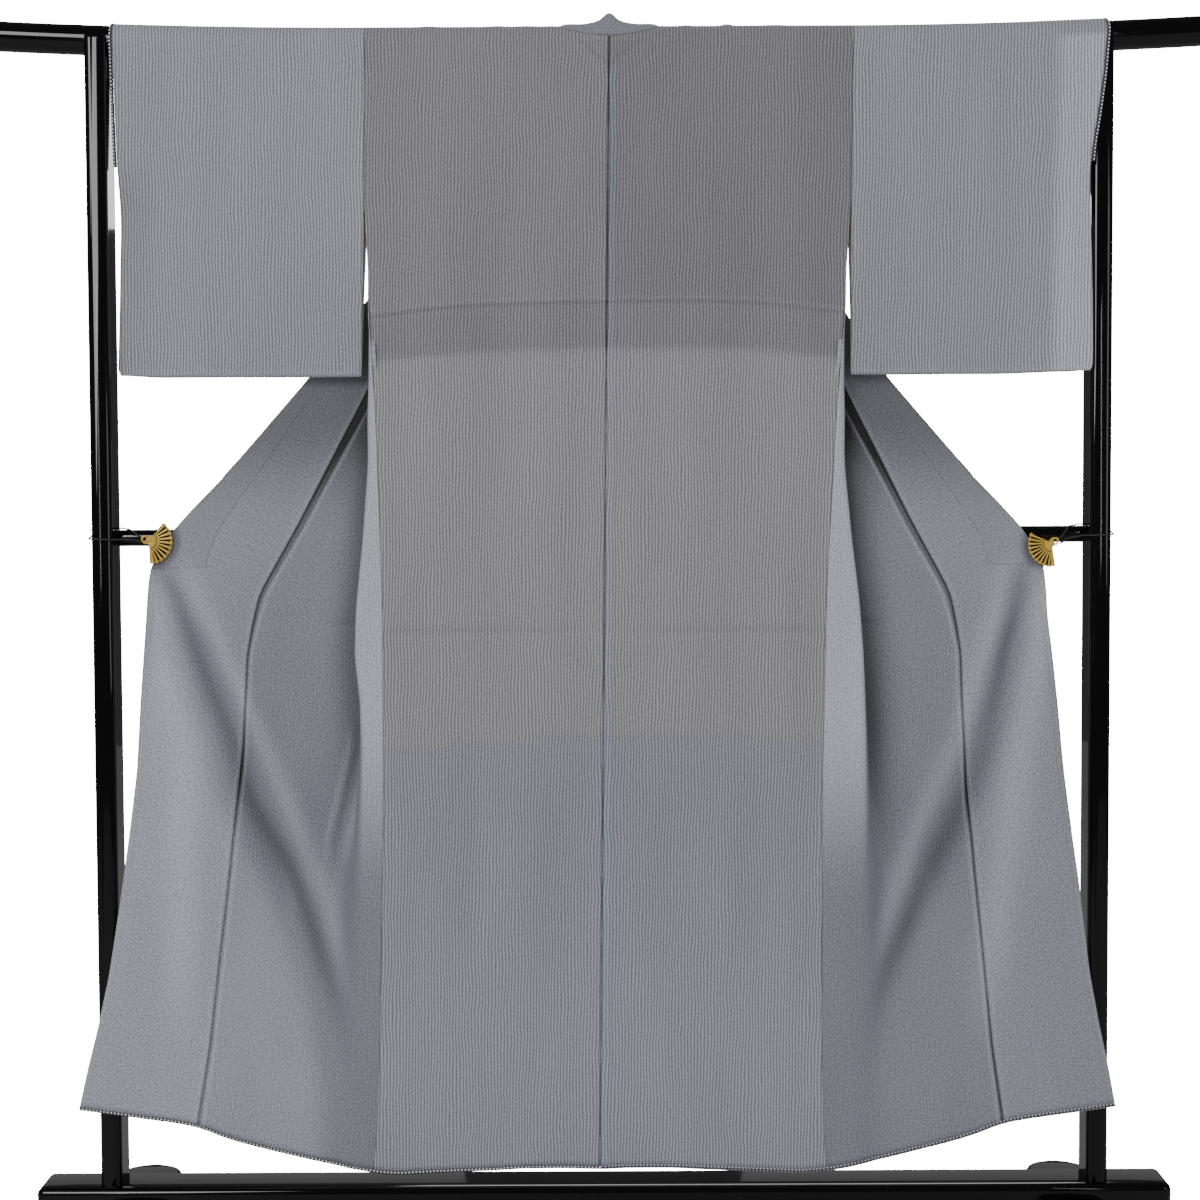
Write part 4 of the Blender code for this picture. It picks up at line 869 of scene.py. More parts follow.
    # allowances: behind the back at the side seam and centre seam, behind the okumi further on
    count, over = len(back), len(back) + len(wrap)
    rows = np.arange(len(points))
    onBack, sewn = rows < count, points[:, 0, 2] < robe["sideSeamTop"]
    wide = np.where(sewn & (onBack | (rows > over)), allowance["wide"], allowance["narrow"])
    deep = np.where(onBack, allowance["deepBack"], allowance["deepFront"])
    full = turnIn(points, False, -side, deep * (wide > 0.001), wide)
    inFront = (rows > over + 2) & (points[:, -1, 2] < robe["kensaki"])
    direction = np.where(inFront, side, -side)
    wide = np.where(onBack | inFront, allowance["wide"], allowance["free"])
    full = turnIn(full, True, direction, np.where(onBack, 0.0020 - 0.0006 * side, 0.0014) * (wide > 0.001), wide)
    cloth, tone, tint, hip, slant = [spreadEdge(spreadEdge(v, False), True) for v in (cloth, tone, tint, hip, slant)]
    tones = {"tone": tone, "tint": tint, "hipLining": hip, "slant": slant}
    return robePiece("body", side, full, cloth, tones, outwardSign(points, 5, 40)), points


def robePiece(kind, side, sheet, cloth, tones, outside, closed=False):
    # silk outside and lining inside, in the place of the solid of the same name
    word = sideWord(side)
    item = clothPiece(kind + word.title(), sheet, cloth, tones, (kimonoSilk, liningSilk), robe["wall"],
                      closed=closed, outside=outside)
    return dress(item, kind + "_" + word)


def outwardSign(points, row, col):
    # +1 when the grid's own normal looks towards the front of the stand (-Y)
    p = points
    normal = np.cross(p[row + 1, col] - p[row, col], p[row, col + 1] - p[row, col])
    return 1.0 if normal[1] < 0.0 else -1.0


def hipLine(signed):
    # upper edge of the dark lining, which shows through the cloth
    return np.interp(signed, (-0.27, -0.10, 0.0, 0.27), (0.6735, 0.6890, 0.6935, 0.6870))


def upperShade(side):
    # how much darker the back is above the tuck
    return 0.20 + 0.05 * side


def centreSeamShade(x):
    # painted shade in the groove of the seam down the middle of the back
    return 0.72 * bump(x, 0.0002, 0.0012)


def pressedFold(x):
    # the centimetre beside the centre seam that was pressed to one side
    return soften(x, 0.0012, 0.0030) * falling(x, 0.0095, 0.0125)


def backTone(x, z, side):
    # darker right under the tuck where the cloth lies doubled, painted shade in the tuck's line, lighter by the hip
    # and towards the hem, painted light on a pale pressed fold
    above = z - tuckHeight(side * x)
    tone = -0.20 * soften(above, -0.066, -0.060) * falling(above, -0.002, 0.0)
    tone = tone - upperShade(side) * soften(above, -0.001, 0.004)
    # painted shade in the tuck's line, with a painted highlight on the fold just above it
    tone = tone - 0.30 * bump(above, -0.0008, 0.0016) + 0.06 * bump(above, 0.0022, 0.0020)
    tone = tone + 0.07 * falling(z, 1.188, 1.200)
    lower = z - hipLine(side * x)
    tone = tone - 0.04 * falling(lower, -0.008, 0.008) - 0.05 * bump(lower, 0.0, 0.003)
    tone = tone + 0.16 * falling(z, 0.20, 0.66)
    # painted shade in the storage crease, with a painted highlight just below it
    fold = z - robe["storageFold"] - 0.004 * np.sin(9.0 * x)
    tone = tone - 0.10 * bump(fold, 0.0, 0.0018) + 0.05 * bump(fold, -0.0034, 0.0020)
    if side > 0:
        # painted highlight on the pressed fold, with painted shade along its outer edge
        fold = pressedFold(x) * falling(z, 1.560, 1.572)
        tone = tone + 0.08 * fold - 0.06 * bump(x, 0.0128, 0.0010) * (z < 1.566)
    # painted shade in the centre seam's groove
    tone = tone - centreSeamShade(x)
    # the edge of the neck facing shows through as a faint point
    point = z - np.interp(x, (0.0, 0.030, 0.045), (1.5660, 1.5900, 1.6060))
    tone = tone - 0.20 * bump(point, 0.0, 0.0014) * (x < 0.045) - 0.04 * soften(point, 0.0, 0.002) * (x < 0.045)
    # painted shade in the side seam's groove, with painted light just inside it
    seam = sideX(z) - x
    return tone - 0.45 * bump(seam, 0.0004, 0.0012) * (z < 1.25) + 0.05 * bump(seam, 0.005, 0.003) * (z < 1.25)


def backTint(x, z, side):
    # warmer above the lining's edge, cooler below it and on the pressed fold
    lower = z - hipLine(side * x)
    tint = 0.35 * falling(lower, -0.008, 0.008)
    tint = tint - 0.30 * soften(lower, -0.008, 0.008) * falling(z, 1.19, 1.20)
    if side > 0:
        tint = tint + 0.9 * pressedFold(x) * (z < 1.566)
    return tint


def wingCreases(x, z, side):
    # shallow creases that fan out below the clip, in metres of depth
    dx, dz = 0.592 - x, 0.948 - z
    r = np.hypot(dx, dz)
    angle = np.degrees(np.arctan2(dx, dz))
    fade = soften(r, 0.02, 0.06) * falling(r, 0.10, 0.30)
    depth = 0.0
    for where, wide, high in ((6.0, 5.0, -0.8), (15.0, 4.0, 1.1), (26.0, 5.0, -1.0), (38.0, 5.0, 0.9),
                              (52.0, 6.0, -0.8), (66.0, 5.0, 0.7)):
        depth = depth + 0.0011 * high * bump(angle, where + 3.0 * side, wide)
    return depth * fade


def frontTone(a, x, z, side):
    # painted light on the strip beside the side seam, painted shade in the band at the okumi seam
    s = foldState(z, side)
    strip = s["strip"] + 0.4 * s["first"]
    high = soften(z, 0.46, 0.72) * falling(z, 1.19, 1.24)
    free = soften(a - strip, 0.0, 0.05)
    # painted light on the strip; the free part takes the wing's painted light and shade, a little darker
    tone = falling(a - strip, -0.004, 0.003) * high + (wingTone(x, z, side) - 0.17) * free
    # the hollow behind the strip is in shade
    place = s["px"] + s["strip"] + np.interp(z, (0.6, 0.75, 0.95), (0.022, 0.016, 0.010))
    behind = soften(a - strip, 0.0, 0.01)
    shade = (0.50 + 0.12 * side) * bump(x, place, 0.026 + 0.003 * side) * behind
    tone = tone - shade * soften(z, 0.50, 0.72) * (1.0 - 0.4 * soften(z, 0.98, 1.05))
    # painted shade in the line where the narrow panel is sewn on and in the grey band beside it, and a painted
    # highlight on the pressed edge
    seam = robe["frontWidth"] - a
    low = (0.0042, 0.0034) if side < 0 else (0.0030, 0.0016)
    wide = np.interp(z, (0.20, 0.45, 0.62, 0.80, 0.87, 0.95, 1.10), low + (0.0016, 0.0016, 0.0060, 0.0085, 0.0100))
    tone = tone - (0.34 + 0.12 * soften(z, 0.82, 0.95)) * falling(seam - wide, -0.0012, 0.0012)
    tone = tone - 0.58 * bump(seam, 0.0002, 0.0018)
    # painted light and shade at the storage fold, and on the left a soft pleat: painted light on its lobe and on a
    # thin crease beside it, with painted shade between them
    fold = z - 0.832 - 0.006 * np.sin(21.0 * x)
    fold = 0.07 * bump(fold, 0.0, 0.0022) - 0.09 * bump(fold, 0.0050, 0.0030)
    tone = tone + fold * behind * falling(x, 0.345, 0.375)
    if side < 0:
        pleat = soften(z, 0.50, 0.57) * falling(z, 0.66, 0.72) * free
        crease = x - np.interp(z, (0.549, 0.6765), (0.370, 0.339))
        tone = tone + (0.34 * bump(crease, 0.0, 0.0042) - 0.24 * bump(crease, -0.010, 0.006)) * pleat
        tone = tone + 0.34 * bump(x, np.interp(z, (0.528, 0.690), (0.343, 0.315)), 0.009) * pleat
    # a painted highlight on the pressed edge beside the grey band
    return np.maximum(tone + 0.34 * bump(seam, wide + 0.0030, 0.0022), -0.92)


# soft folds below the clips: half widths of the painted shade in the trough and of the painted light on the bands
# beside it
foldMarks = {
    "z": (0.20, 0.33, 0.48, 0.61, 0.69, 0.885, 0.95),
    "leftDark": (0.330, 0.352, 0.406, 0.473, 0.494, 0.570, 0.600),
    "rightDark": (0.330, 0.362, 0.430, 0.487, 0.513, 0.546, 0.560),
    "leftLight": (0.560, 0.556, 0.552, 0.552, 0.554, 0.590, 0.610),
    "rightLight": (0.500, 0.510, 0.528, 0.541, 0.550, 0.578, 0.585),
    "leftInner": (0.300, 0.322, 0.374, 0.425, 0.455, 0.541, 0.560),
    "rightInner": (0.310, 0.340, 0.393, 0.440, 0.470, 0.525, 0.540),
}


def wingTone(x, z, side):
    # painted light on the lower part and on the ridges, painted shade in the trough, and a top darkened with painted
    # shade near the sleeve
    word = sideWord(side)
    dark, light, inner = [readTable(foldMarks, word + key, z) for key in ("Dark", "Light", "Inner")]
    fade = soften(z, 0.24, 0.44) * falling(z, 0.88, 0.95)
    tone = 0.24 * falling(z, 0.92, 1.10) - 0.50 * bump(x, dark, 0.0175 + 0.0015 * side) * fade
    tone = tone + 0.42 * bump(x, light, 0.022) * fade + 0.36 * bump(x, inner, 0.016) * fade
    tone = tone - 0.40 * soften(z, 0.98, 1.12) - 0.10 * soften(z, 1.18, 1.25)
    # on the left, painted light on the band outside the trough
    tone = tone + 0.40 * (side < 0) * falling(z, 0.76, 0.86) * soften(x - dark, 0.02, 0.06)
    # shade the clip casts on the cloth
    middle = (0.5963, 0.950) if side < 0 else (0.5852, 0.9415)
    r = np.hypot(x - middle[0], z - middle[1])
    return tone - 0.62 * falling(r, 0.031, 0.041)


def okumiEdge(z, side):
    # the collar's seam above the collar's end, the free front edge below
    seam = edgeX(z, side) - collarShow(z) - 0.0001
    return np.where(z > robe["collarEnd"] + 0.0002, seam, edgeX(z, side))


def okumiPoint(main, rest, z, side):
    # main runs to the line of the collar seam, rest from there to the edge
    inner = readTable(innerLine, "x", z) + 0.5 * robe["gap"]
    outer = okumiEdge(z, side)
    line = np.where(z > robe["collarEnd"] + 0.0002, outer, edgeX(z, side) - 0.075) - 0.002
    x = inner + (line - inner) * main + (outer - line) * rest
    a0 = np.full(x.shape, robe["frontWidth"] + 0.5 * robe["gap"])
    x0 = frontSection(a0, z, side)[0]
    return x, frontSection(a0 + (x - x0), z, side)[1]


def buildOkumi(side):
    # narrow front panel: seam on one side, collar and then the free front edge on the other
    t = np.linspace(0.0, 1.0, 30)
    main = np.append(t - 0.10 * np.sin(2.0 * math.pi * t), np.ones(20))[None, :]
    rest = np.append(np.zeros(30), np.linspace(0.05, 1.0, 20))[None, :]
    above = frontLevels[(frontLevels > robe["collarEnd"]) & (frontLevels < robe["kensaki"])]
    below = frontLevels[frontLevels <= robe["collarEnd"]]
    level = np.concatenate([above, (robe["collarEnd"] + 0.0006,), (robe["collarEnd"],), below])[:, None]
    x, y = okumiPoint(main, rest, level, side)
    z = slopedHeight(level, x)
    x, y = okumiPoint(main, rest, z, side)
    edge = edgeX(z, side) - x
    y = y + wingCreases(x, z, side)
    points = toWorld(x, y, z, side)
    seam = x - readTable(innerLine, "x", z)
    cloth = gridOf(seam + 0.4, -z)
    # painted shade in the seam line and a painted highlight on the rim beside it
    tone = -0.88 * bump(seam, 0.0002, 0.0018) + 0.18 * bump(seam, 0.0050, 0.0028)
    free = z < 0.91
    tone = tone + 0.10 * falling(edge, 0.001, 0.006) * free - 0.10 * bump(edge, 0.008, 0.002) * free
    # the wing's painted light and shade
    tone = tone + wingTone(x, z, side)
    hip = (z < robe["liningTop"]) * 1.0
    full = turnIn(points, False, -side, allowance["deepFront"], allowance["wide"])
    cloth, tone, hip = [spreadEdge(v, False) for v in (cloth, tone, hip)]
    tones = {"tone": tone, "tint": robe["cool"], "hipLining": hip, "slant": 1.0}
    return robePiece("okumi", side, full, cloth, tones, outwardSign(points, 100, 20)), points


# collar marks over the neck: middle, ridge, fall and tip for each station from the centre back
neckMarks = (
    ((0.0, -0.0150, 1.6235), (0.0, 0.0030, 1.6405), (0.0, 0.0220, 1.6335), (0.0, 0.0320, 1.6150)),
    ((0.014, -0.0135, 1.6208), (0.014, 0.0045, 1.6298), (0.014, 0.0235, 1.6265), (0.014, 0.0330, 1.6120)),
    ((0.033, -0.0105, 1.6200), (0.033, 0.0070, 1.6252), (0.033, 0.0260, 1.6225), (0.033, 0.0345, 1.6090)),
    ((0.0545, 0.0005, 1.6235), (0.0520, 0.0140, 1.6250), (0.0505, 0.0290, 1.6190), (0.0495, 0.0365, 1.6045)),
    ((0.0620, 0.0095, 1.6240), (0.0595, 0.0205, 1.6240), (0.0575, 0.0320, 1.6160), (0.0560, 0.0385, 1.6010)),
    ((0.0660, 0.0160, 1.6215), (0.0645, 0.0260, 1.6205), (0.0630, 0.0355, 1.6120), (0.0595, 0.0408, 1.5998)),
    ((0.0690, 0.0212, 1.6165), (0.0690, 0.0300, 1.6145), (0.0690, 0.0385, 1.6070), (0.0630, 0.0425, 1.5992)),
    ((0.0705, 0.0250, 1.6085), (0.0730, 0.0325, 1.6068), (0.0755, 0.0400, 1.6025), (0.0665, 0.0432, 1.5988)),
)


def neckSeams():
    # points of the neckline at each station, a hair above the cloth
    turn = np.radians((15.7, 18.1, 26.4, 44.4, 56.5, 78.5, 104.0, 130.0))
    x = np.array((0.0, 0.0144, 0.0340, 0.0550, 0.0622, 0.0685, 0.0714, 0.0738))
    radius = robe["wrap"] + 0.0003
    return gridOf(x, -radius * np.cos(turn), robe["barHeight"] + radius * np.sin(turn))


def smoothRows(rows, steps):
    # curve through every row of points, with steps new rows in each stretch
    before = np.concatenate([rows[:1], rows[:-1]])
    after = np.concatenate([rows[1:], rows[-1:]])
    further = np.concatenate([rows[2:], rows[-1:], rows[-1:]])
    out = []
    for k in range(steps):
        t = k / steps
        out.append((-0.5 * t + t * t - 0.5 * t ** 3) * before + (1.0 - 2.5 * t * t + 1.5 * t ** 3) * rows
                   + (0.5 * t + 2.0 * t * t - 1.5 * t ** 3) * after + (-0.5 * t * t + 0.5 * t ** 3) * further)
    return np.stack(out, axis=1).reshape(-1, *rows.shape[1:])


def collarFar(z, q, side):
    # seam, outward run, round nose and the tail behind, for q from 0 to 8
    show = collarShow(z)
    rolled = soften(z, 0.955, 1.12)
    tail = np.maximum((robe["collarWidth"] - show * 0.8) * rolled, 0.002) * np.interp(z, (1.5, 1.598), (1.0, 0.22))
    bend = np.maximum(math.pi * rolled, 0.02)
    radius = 0.0107 / bend
    turn = bend * np.clip((q - 3.0) / 3.0, 0.0, 1.0)
    part = np.clip((q - 6.0) / 2.0, 0.0, 1.0)
    farX = radius * np.sin(turn) + tail * np.cos(bend) * part
    farY = radius * (1.0 - np.cos(turn)) + tail * np.sin(bend) * part
    reach = np.max(farX, axis=1, keepdims=True)
    steps = np.clip(q / 3.0, 0.0, 1.0)
    a0 = robe["frontWidth"] + robe["gap"] + 0.0018 * soften(z, 1.53, 1.57) + 0.0 * steps
    zz = z + 0.0 * steps
    a = a0 + steps * np.interp(z, (1.5, 1.545, 1.575, 1.598), (0.019, 0.019, 0.017, 0.012))
    highX, highY = frontSection(a, zz, side)
    lowX = edgeX(z, side) - show + steps * np.maximum(show - reach, 0.006)
    lowY = frontSection(a0 + (lowX - frontSection(a0, zz, side)[0]), zz, side)[1]
    high = z > robe["kensaki"]
    return np.where(high, highX, lowX) + farX, np.where(high, highY, lowY) + farY


def buildCollar():
    # one band from clip to clip round the neck, folded over behind
    q = np.linspace(0.0, 8.0, 41)[None, :]
    t = q[0] / 2.0
    rows = []
    for mark in np.concatenate([neckSeams()[:, None, :], np.array(neckMarks)], axis=1):
        lines = [averaged(t, range(5), mark[:, k], (-0.35, 0.0, 0.35)) for k in range(3)]
        for k, line in enumerate(lines):
            line[0], line[-1] = mark[0, k], mark[-1, k]
        rows.append(np.stack(lines, axis=1))
    end = robe["collarEnd"]
    levels = np.append(frontLevels[frontLevels > end + 0.004], end + np.array((0.0024, -0.005)))[:, None]
    halves, tones = [], []
    for side in (-1, 1):
        x, y = collarFar(levels, q, side)
        far = gridOf(x, y + np.where(levels < end, 0.0012, 0.0), levels)
        mirrored = rows[1] * (-1.0, 1.0, 1.0)
        neck = smoothRows(np.array([mirrored] + rows + [far[0]]), 6)[6:-6]
        run = np.concatenate([neck, far])
        x, y, z = np.moveaxis(run, 2, 0)
        y = y + np.where(z < 1.1, wingCreases(x, z, side) * (q < 3.5), 0.0)
        halves.append(toWorld(x, y, z, side))
        # painted shade along the collar's seam, and the wing's painted light and shade on its lower part
        seam = np.interp(z[:, :1], (0.95, 1.05, 1.50, 1.60), (0.12, 0.0, 0.0, 0.35))
        tones.append(-seam * bump(q, 0.0, 0.12) + wingTone(x, z, side) * (z < 1.4))
    points = np.concatenate([halves[0][::-1], halves[1][1:]])
    tone = np.concatenate([tones[0][::-1], tones[1][1:]])
    wide = np.array([lengthAlong(row) for row in points])
    cloth = gridOf(wide, lengthAlong(points[:, 0])[:, None])
    low = (points[:, 0, 2] < 1.36).astype(float)
    full = turnIn(points, False, np.where(points[:, 0, 0] < 0.0, 1.0, -1.0), 0.0015 * low, 0.0003 + 0.0050 * low)
    cloth, tone = spreadEdge(cloth, False), spreadEdge(tone, False)
    item = clothPiece("collarBand", full, cloth, {"tone": tone, "tint": 0.2, "hipLining": 0.0, "slant": 0.9},
                      (kimonoSilk, kimonoSilk), robe["wall"], outside=outwardSign(points, 6, 4))
    dress(item, "collar")
    return item, points


cuffLine = {
    "z": (1.16, 1.18, 1.25, 1.31, 1.36, 1.40, 1.43, 1.46, 1.49, 1.55, 1.65),
    "left": (0.641, 0.641, 0.639, 0.638, 0.637, 0.638, 0.639, 0.640, 0.641, 0.643, 0.6455),
    "right": (0.6322, 0.6322, 0.6305, 0.6285, 0.626, 0.6243, 0.6243, 0.6265, 0.6315, 0.6390, 0.6455),
}
openLine = {
    "z": (1.16, 1.25, 1.32, 1.39, 1.65),
    "x": (0.322, 0.320, 0.318, 0.3168, 0.3168),
}
sleeve = {
    "low": 1.170, "bottom": 1.166, "corner": 0.012, "cuffEnd": 1.39, "fold": 0.004, "shut": 0.00115,
    "stand": 0.0345,     # half depth of the cuff that stands round the upright
    "seam": 0.3168,      # half width of the seam to the body
    "cols": 61, "rows": 74, "overBar": np.arange(12.0, 169.0, 12.0), "underFold": np.arange(30.0, 151.0, 30.0),
}


def sleeveLayer(share, z, side):
    # half width, middle depth and half depth of the sleeve at one height
    word = sideWord(side)
    inner = readTable(openLine, "x", z)
    drop = np.clip(sleeve["corner"] - (z - sleeve["bottom"]), 0.0, sleeve["corner"])
    outer = readTable(cuffLine, word, z) - sleeve["corner"] + np.sqrt(sleeve["corner"] ** 2 - drop ** 2)
    x = inner + (outer - inner) * share
    up = np.clip((z - sleeve["low"]) / (robe["barHeight"] - sleeve["low"]), 0.0, 1.0)
    fold, shut, stood = sleeve["fold"], sleeve["shut"], sleeve["stand"]
    plain = fold + (robe["wrap"] - fold) * up
    seam = fold + (robe["wrap"] - fold) * soften(z, sleeve["bottom"], 1.39)
    half = plain + (seam - plain) * falling(x - inner, 0.0, 0.07)
    mouth = soften(z, sleeve["cuffEnd"] - 0.02, sleeve["cuffEnd"] + 0.06)
    inside = soften(outer - x, 0.0, 0.06)
    half = shut + (half - shut) * (inside + (1.0 - inside) * mouth)
    hold = soften(share, 0.0, 0.25) * falling(share, 0.75, 1.0)
    down = falling(z, 1.25, robe["barHeight"])
    middle = 0.0025 * np.sin(9.0 * share + 0.8 * side) * hold * down - 0.002 * down
    if side > 0:
        # this cuff stands round the upright, and is sewn shut in front of it further down
        outside = soften(x, 0.50, 0.61)
        opened = soften(z, 1.355, 1.44)
        thin = shut + 0.0014 * falling(x, 0.60, 0.622)
        half = half + (thin + (stood - thin) * opened - half) * outside
        middle = middle + ((shut - stood) * (1.0 - opened) - middle) * outside
    return x, middle, half


def sleeveRise(x, z, side):
    # the bar's sweep, passed on to the cloth by the cube of its height
    up = np.clip((z - sleeve["low"]) / (robe["barHeight"] - sleeve["low"]), 0.0, 1.0)
    return (barCentre(side * x + lean(robe["barHeight"])) - robe["barHeight"]) * up ** 3


def sleeveCrease(z):
    # half width of the long crease left by folding
    return np.interp(z, (1.40, 1.50, 1.60), (0.574, 0.583, 0.592))


def sleeveDetail(x, z, side):
    # faint hanging waves and, on one side, the long crease left by folding
    wave = 0.0011 * np.sin(38.0 * x + 1.3 * side + 2.0 * z) * soften(z, 1.17, 1.30) * falling(z, 1.50, 1.585)
    wave = wave * soften(x, 0.33, 0.38) * falling(x, 0.56, 0.62)
    if side > 0:
        wave = wave + 0.0010 * bump(x, sleeveCrease(z), 0.0025) * soften(z, 1.30, 1.42)
    return wave


def buildSleeve(side):
    # near layer, over the bar, far layer and the turned bottom edge, as one closed loop of cloth
    t = np.linspace(0.0, 1.0, sleeve["cols"])
    share = (t - 0.07 * np.sin(2.0 * math.pi * t))[None, :]
    top, low, fold = robe["barHeight"], sleeve["low"], sleeve["fold"]
    z = np.concatenate([np.linspace(low, 1.19, 7), np.linspace(1.196, top, sleeve["rows"] - 7)])
    z = np.repeat(z[:, None], sleeve["cols"], axis=1)
    x, y, h = sleeveLayer(share, z, side)
    zz = z + sleeveRise(x, z, side)
    rub = sleeveDetail(x, z, side)
    near = toWorld(x, y - h + rub, zz, side)
    far = toWorld(x, y + h + rub, zz, side)[::-1]
    w = np.radians(sleeve["overBar"])[:, None]
    xt, yt, ht = sleeveLayer(share, np.full(share.shape, top), side)
    over = toWorld(xt, yt - ht * np.cos(w), top + sleeveRise(xt, top, side) + robe["wrap"] * np.sin(w), side)
    w2 = np.radians(sleeve["underFold"])[:, None]
    xb, yb, hb = sleeveLayer(share, np.full(share.shape, low), side)
    under = toWorld(xb, yb + hb * np.cos(w2), low - np.minimum(hb, fold) * np.sin(w2), side)
    points = np.concatenate([near, over, far, under])
    arc = np.pi * robe["wrap"]
    end = 2.0 * top + arc
    v = np.concatenate([z[:, :1], top + arc * w / math.pi, end - z[::-1, :1], end - low + fold * w2])
    u = np.concatenate([x, np.repeat(xt, len(w), axis=0), x[::-1], np.repeat(xb, len(w2), axis=0)])
    cloth = gridOf(u, v)
    inner = u - sleeve["seam"]
    # painted shade in the seam to the body, with painted light just beside it
    tone = 0.15 - 0.20 * bump(inner, 0.0004, 0.0016) + 0.06 * bump(inner, 0.006, 0.004)
    # painted light on the right sleeve's outer part past its long crease
    tone = tone + 0.50 * soften(u, 0.570, 0.594) * (side > 0) * (v < robe["barHeight"])
    # painted shade in that crease
    tone = tone - 0.05 * bump(u, sleeveCrease(v), 0.002) * (side > 0)
    # a painted highlight along the turned bottom edge
    tone = tone + 0.12 * bump(v, 1.171, 0.003)
    tones = {"tone": tone, "tint": robe["cool"], "hipLining": 0.0, "slant": 0.0}
    return robePiece("sleeve", side, points, cloth, tones, outwardSign(points, 20, 30), closed=True), points


def tubeAlong(name, path, radii, sides, material):
    # an ellipse carried square to a path: path + sideways * cos + upwards * sin
    path = np.asarray(path, float)
    tangent = unit(np.gradient(path, axis=0))
    up = np.array((0.0, 0.0, 1.0)) if abs(tangent[0, 2]) < 0.8 else np.array((0.0, 1.0, 0.0))
    one = unit(np.cross(tangent, up))
    two = np.cross(one, tangent)
    w = circle(sides)[None, :, None]
    ring = path[:, None, :] + radii[0] * np.cos(w) * one[:, None, :] + radii[1] * np.sin(w) * two[:, None, :]
    around = np.arange(sides) / sides * 2.0 * math.pi * max(radii)
    return ringItem(name, ring, material, gridOf(lengthAlong(path)[:, None], around[None, :]))


edging = {
    "sides": 10, "hemDrop": 0.0021, "hemRadii": (0.0016, 0.0024),
    "cuffOut": 0.0026, "cuffRadii": (0.0024, 0.0014), "cuffEnd": 1.437, "cuffRows": 40,
}


def buildHem(side, body, okumi):
    # padded lining edge: a thin ellipse carried just below the hem, from the centre seam to the front edge
    path = np.vstack([body[0][::-1], body[-1], okumi[-1][1:]])
    keep = np.append(True, np.linalg.norm(np.diff(path, axis=0), axis=1) > 0.0012)
    path = path[keep]
    tangent = unit(np.gradient(path, axis=0))
    down = unit(np.array((0.0, 0.0, -1.0)) + tangent * tangent[:, 2:3])
    word = sideWord(side)
    item = tubeAlong("hemLining" + word.title(), path + down * edging["hemDrop"], edging["hemRadii"], edging["sides"],
                     dottedSilk)
    return dress(item, "hem_lining_" + word)


def buildCuff(side):
    # the same edge outside the cuff mouth, up the near side, over the bar and down behind
    z = np.linspace(edging["cuffEnd"], robe["barHeight"], edging["cuffRows"])
    x, y, h = sleeveLayer(1.0, z, side)
    rise = sleeveRise(x, z, side)
    near = toWorld(x + edging["cuffOut"], y - h, z + rise, side)
    far = toWorld(x + edging["cuffOut"], y + h, z + rise, side)
    w = np.radians(sleeve["overBar"])
    xt, yt, ht = sleeveLayer(1.0, np.full(len(w), robe["barHeight"]), side)
    top = robe["barHeight"] + sleeveRise(xt, robe["barHeight"], side)
    over = toWorld(xt + edging["cuffOut"], yt - ht * np.cos(w), top + robe["wrap"] * np.sin(w), side)
    path = np.concatenate([near, over, far[::-1]])
    tangent = unit(np.gradient(path, axis=0))
    outward = unit(np.array((float(side), 0.0, 0.0)) - tangent * (side * tangent[:, 0:1]))
    flat = np.cross(tangent, outward)
    angle = circle(edging["sides"])[None, :, None]
    one, two = edging["cuffRadii"]
    ring = path[:, None, :] + one * np.cos(angle) * outward[:, None, :] + two * np.sin(angle) * flat[:, None, :]
    cloth = gridOf(lengthAlong(path)[:, None], np.arange(edging["sides"])[None, :] * two)
    word = sideWord(side)
    return dress(ringItem("cuffLining" + word.title(), ring, dottedSilk, cloth), "cuff_lining_" + word)


stand = {
    "postX": 0.6535, "postWidth": 0.028, "postDepth": 0.060, "postTop": 1.608, "postRound": 0.0085,
    "barRadius": 0.0195, "barHalf": 0.90, "crossRadius": 0.011, "crossY": 0.017, "crossZ": 0.955,
    "beamHalf": 0.751, "beamDepth": 0.078, "beamHeight": 0.060, "beamRound": 0.010,
    "footHeight": 0.0362, "footWidth": 0.086, "footLength": 0.54, "gap": 0.0003,
    "footRound": 0.030, "footEdge": 0.008, "barEdge": 0.003, "postLip": 0.0012,
    "sharp": 38.0,       # degrees, edges sharper than this stay crisp
}
beamTop = stand["footHeight"] + stand["gap"] + stand["beamHeight"]


def polishedPiece(name, rings, material):
    # a solid from rings, with its sharper edges kept crisp
    return ringItem(name, rings, material, sharp=stand["sharp"])


def roundedLoop(halfA, halfB, radius, per=8):
    # rounded rectangle: four quarter circles on the corners of the inner rectangle
    w = np.concatenate([np.linspace(q, q + 90.0, per) for q in (0.0, 90.0, 180.0, 270.0)])
    signA = np.repeat((1.0, -1.0, -1.0, 1.0), per)
    signB = np.repeat((1.0, 1.0, -1.0, -1.0), per)
    w = np.radians(w)
    radius = np.asarray(radius, float)
    return signA * (halfA - radius) + radius * np.cos(w), signB * (halfB - radius) + radius * np.sin(w)


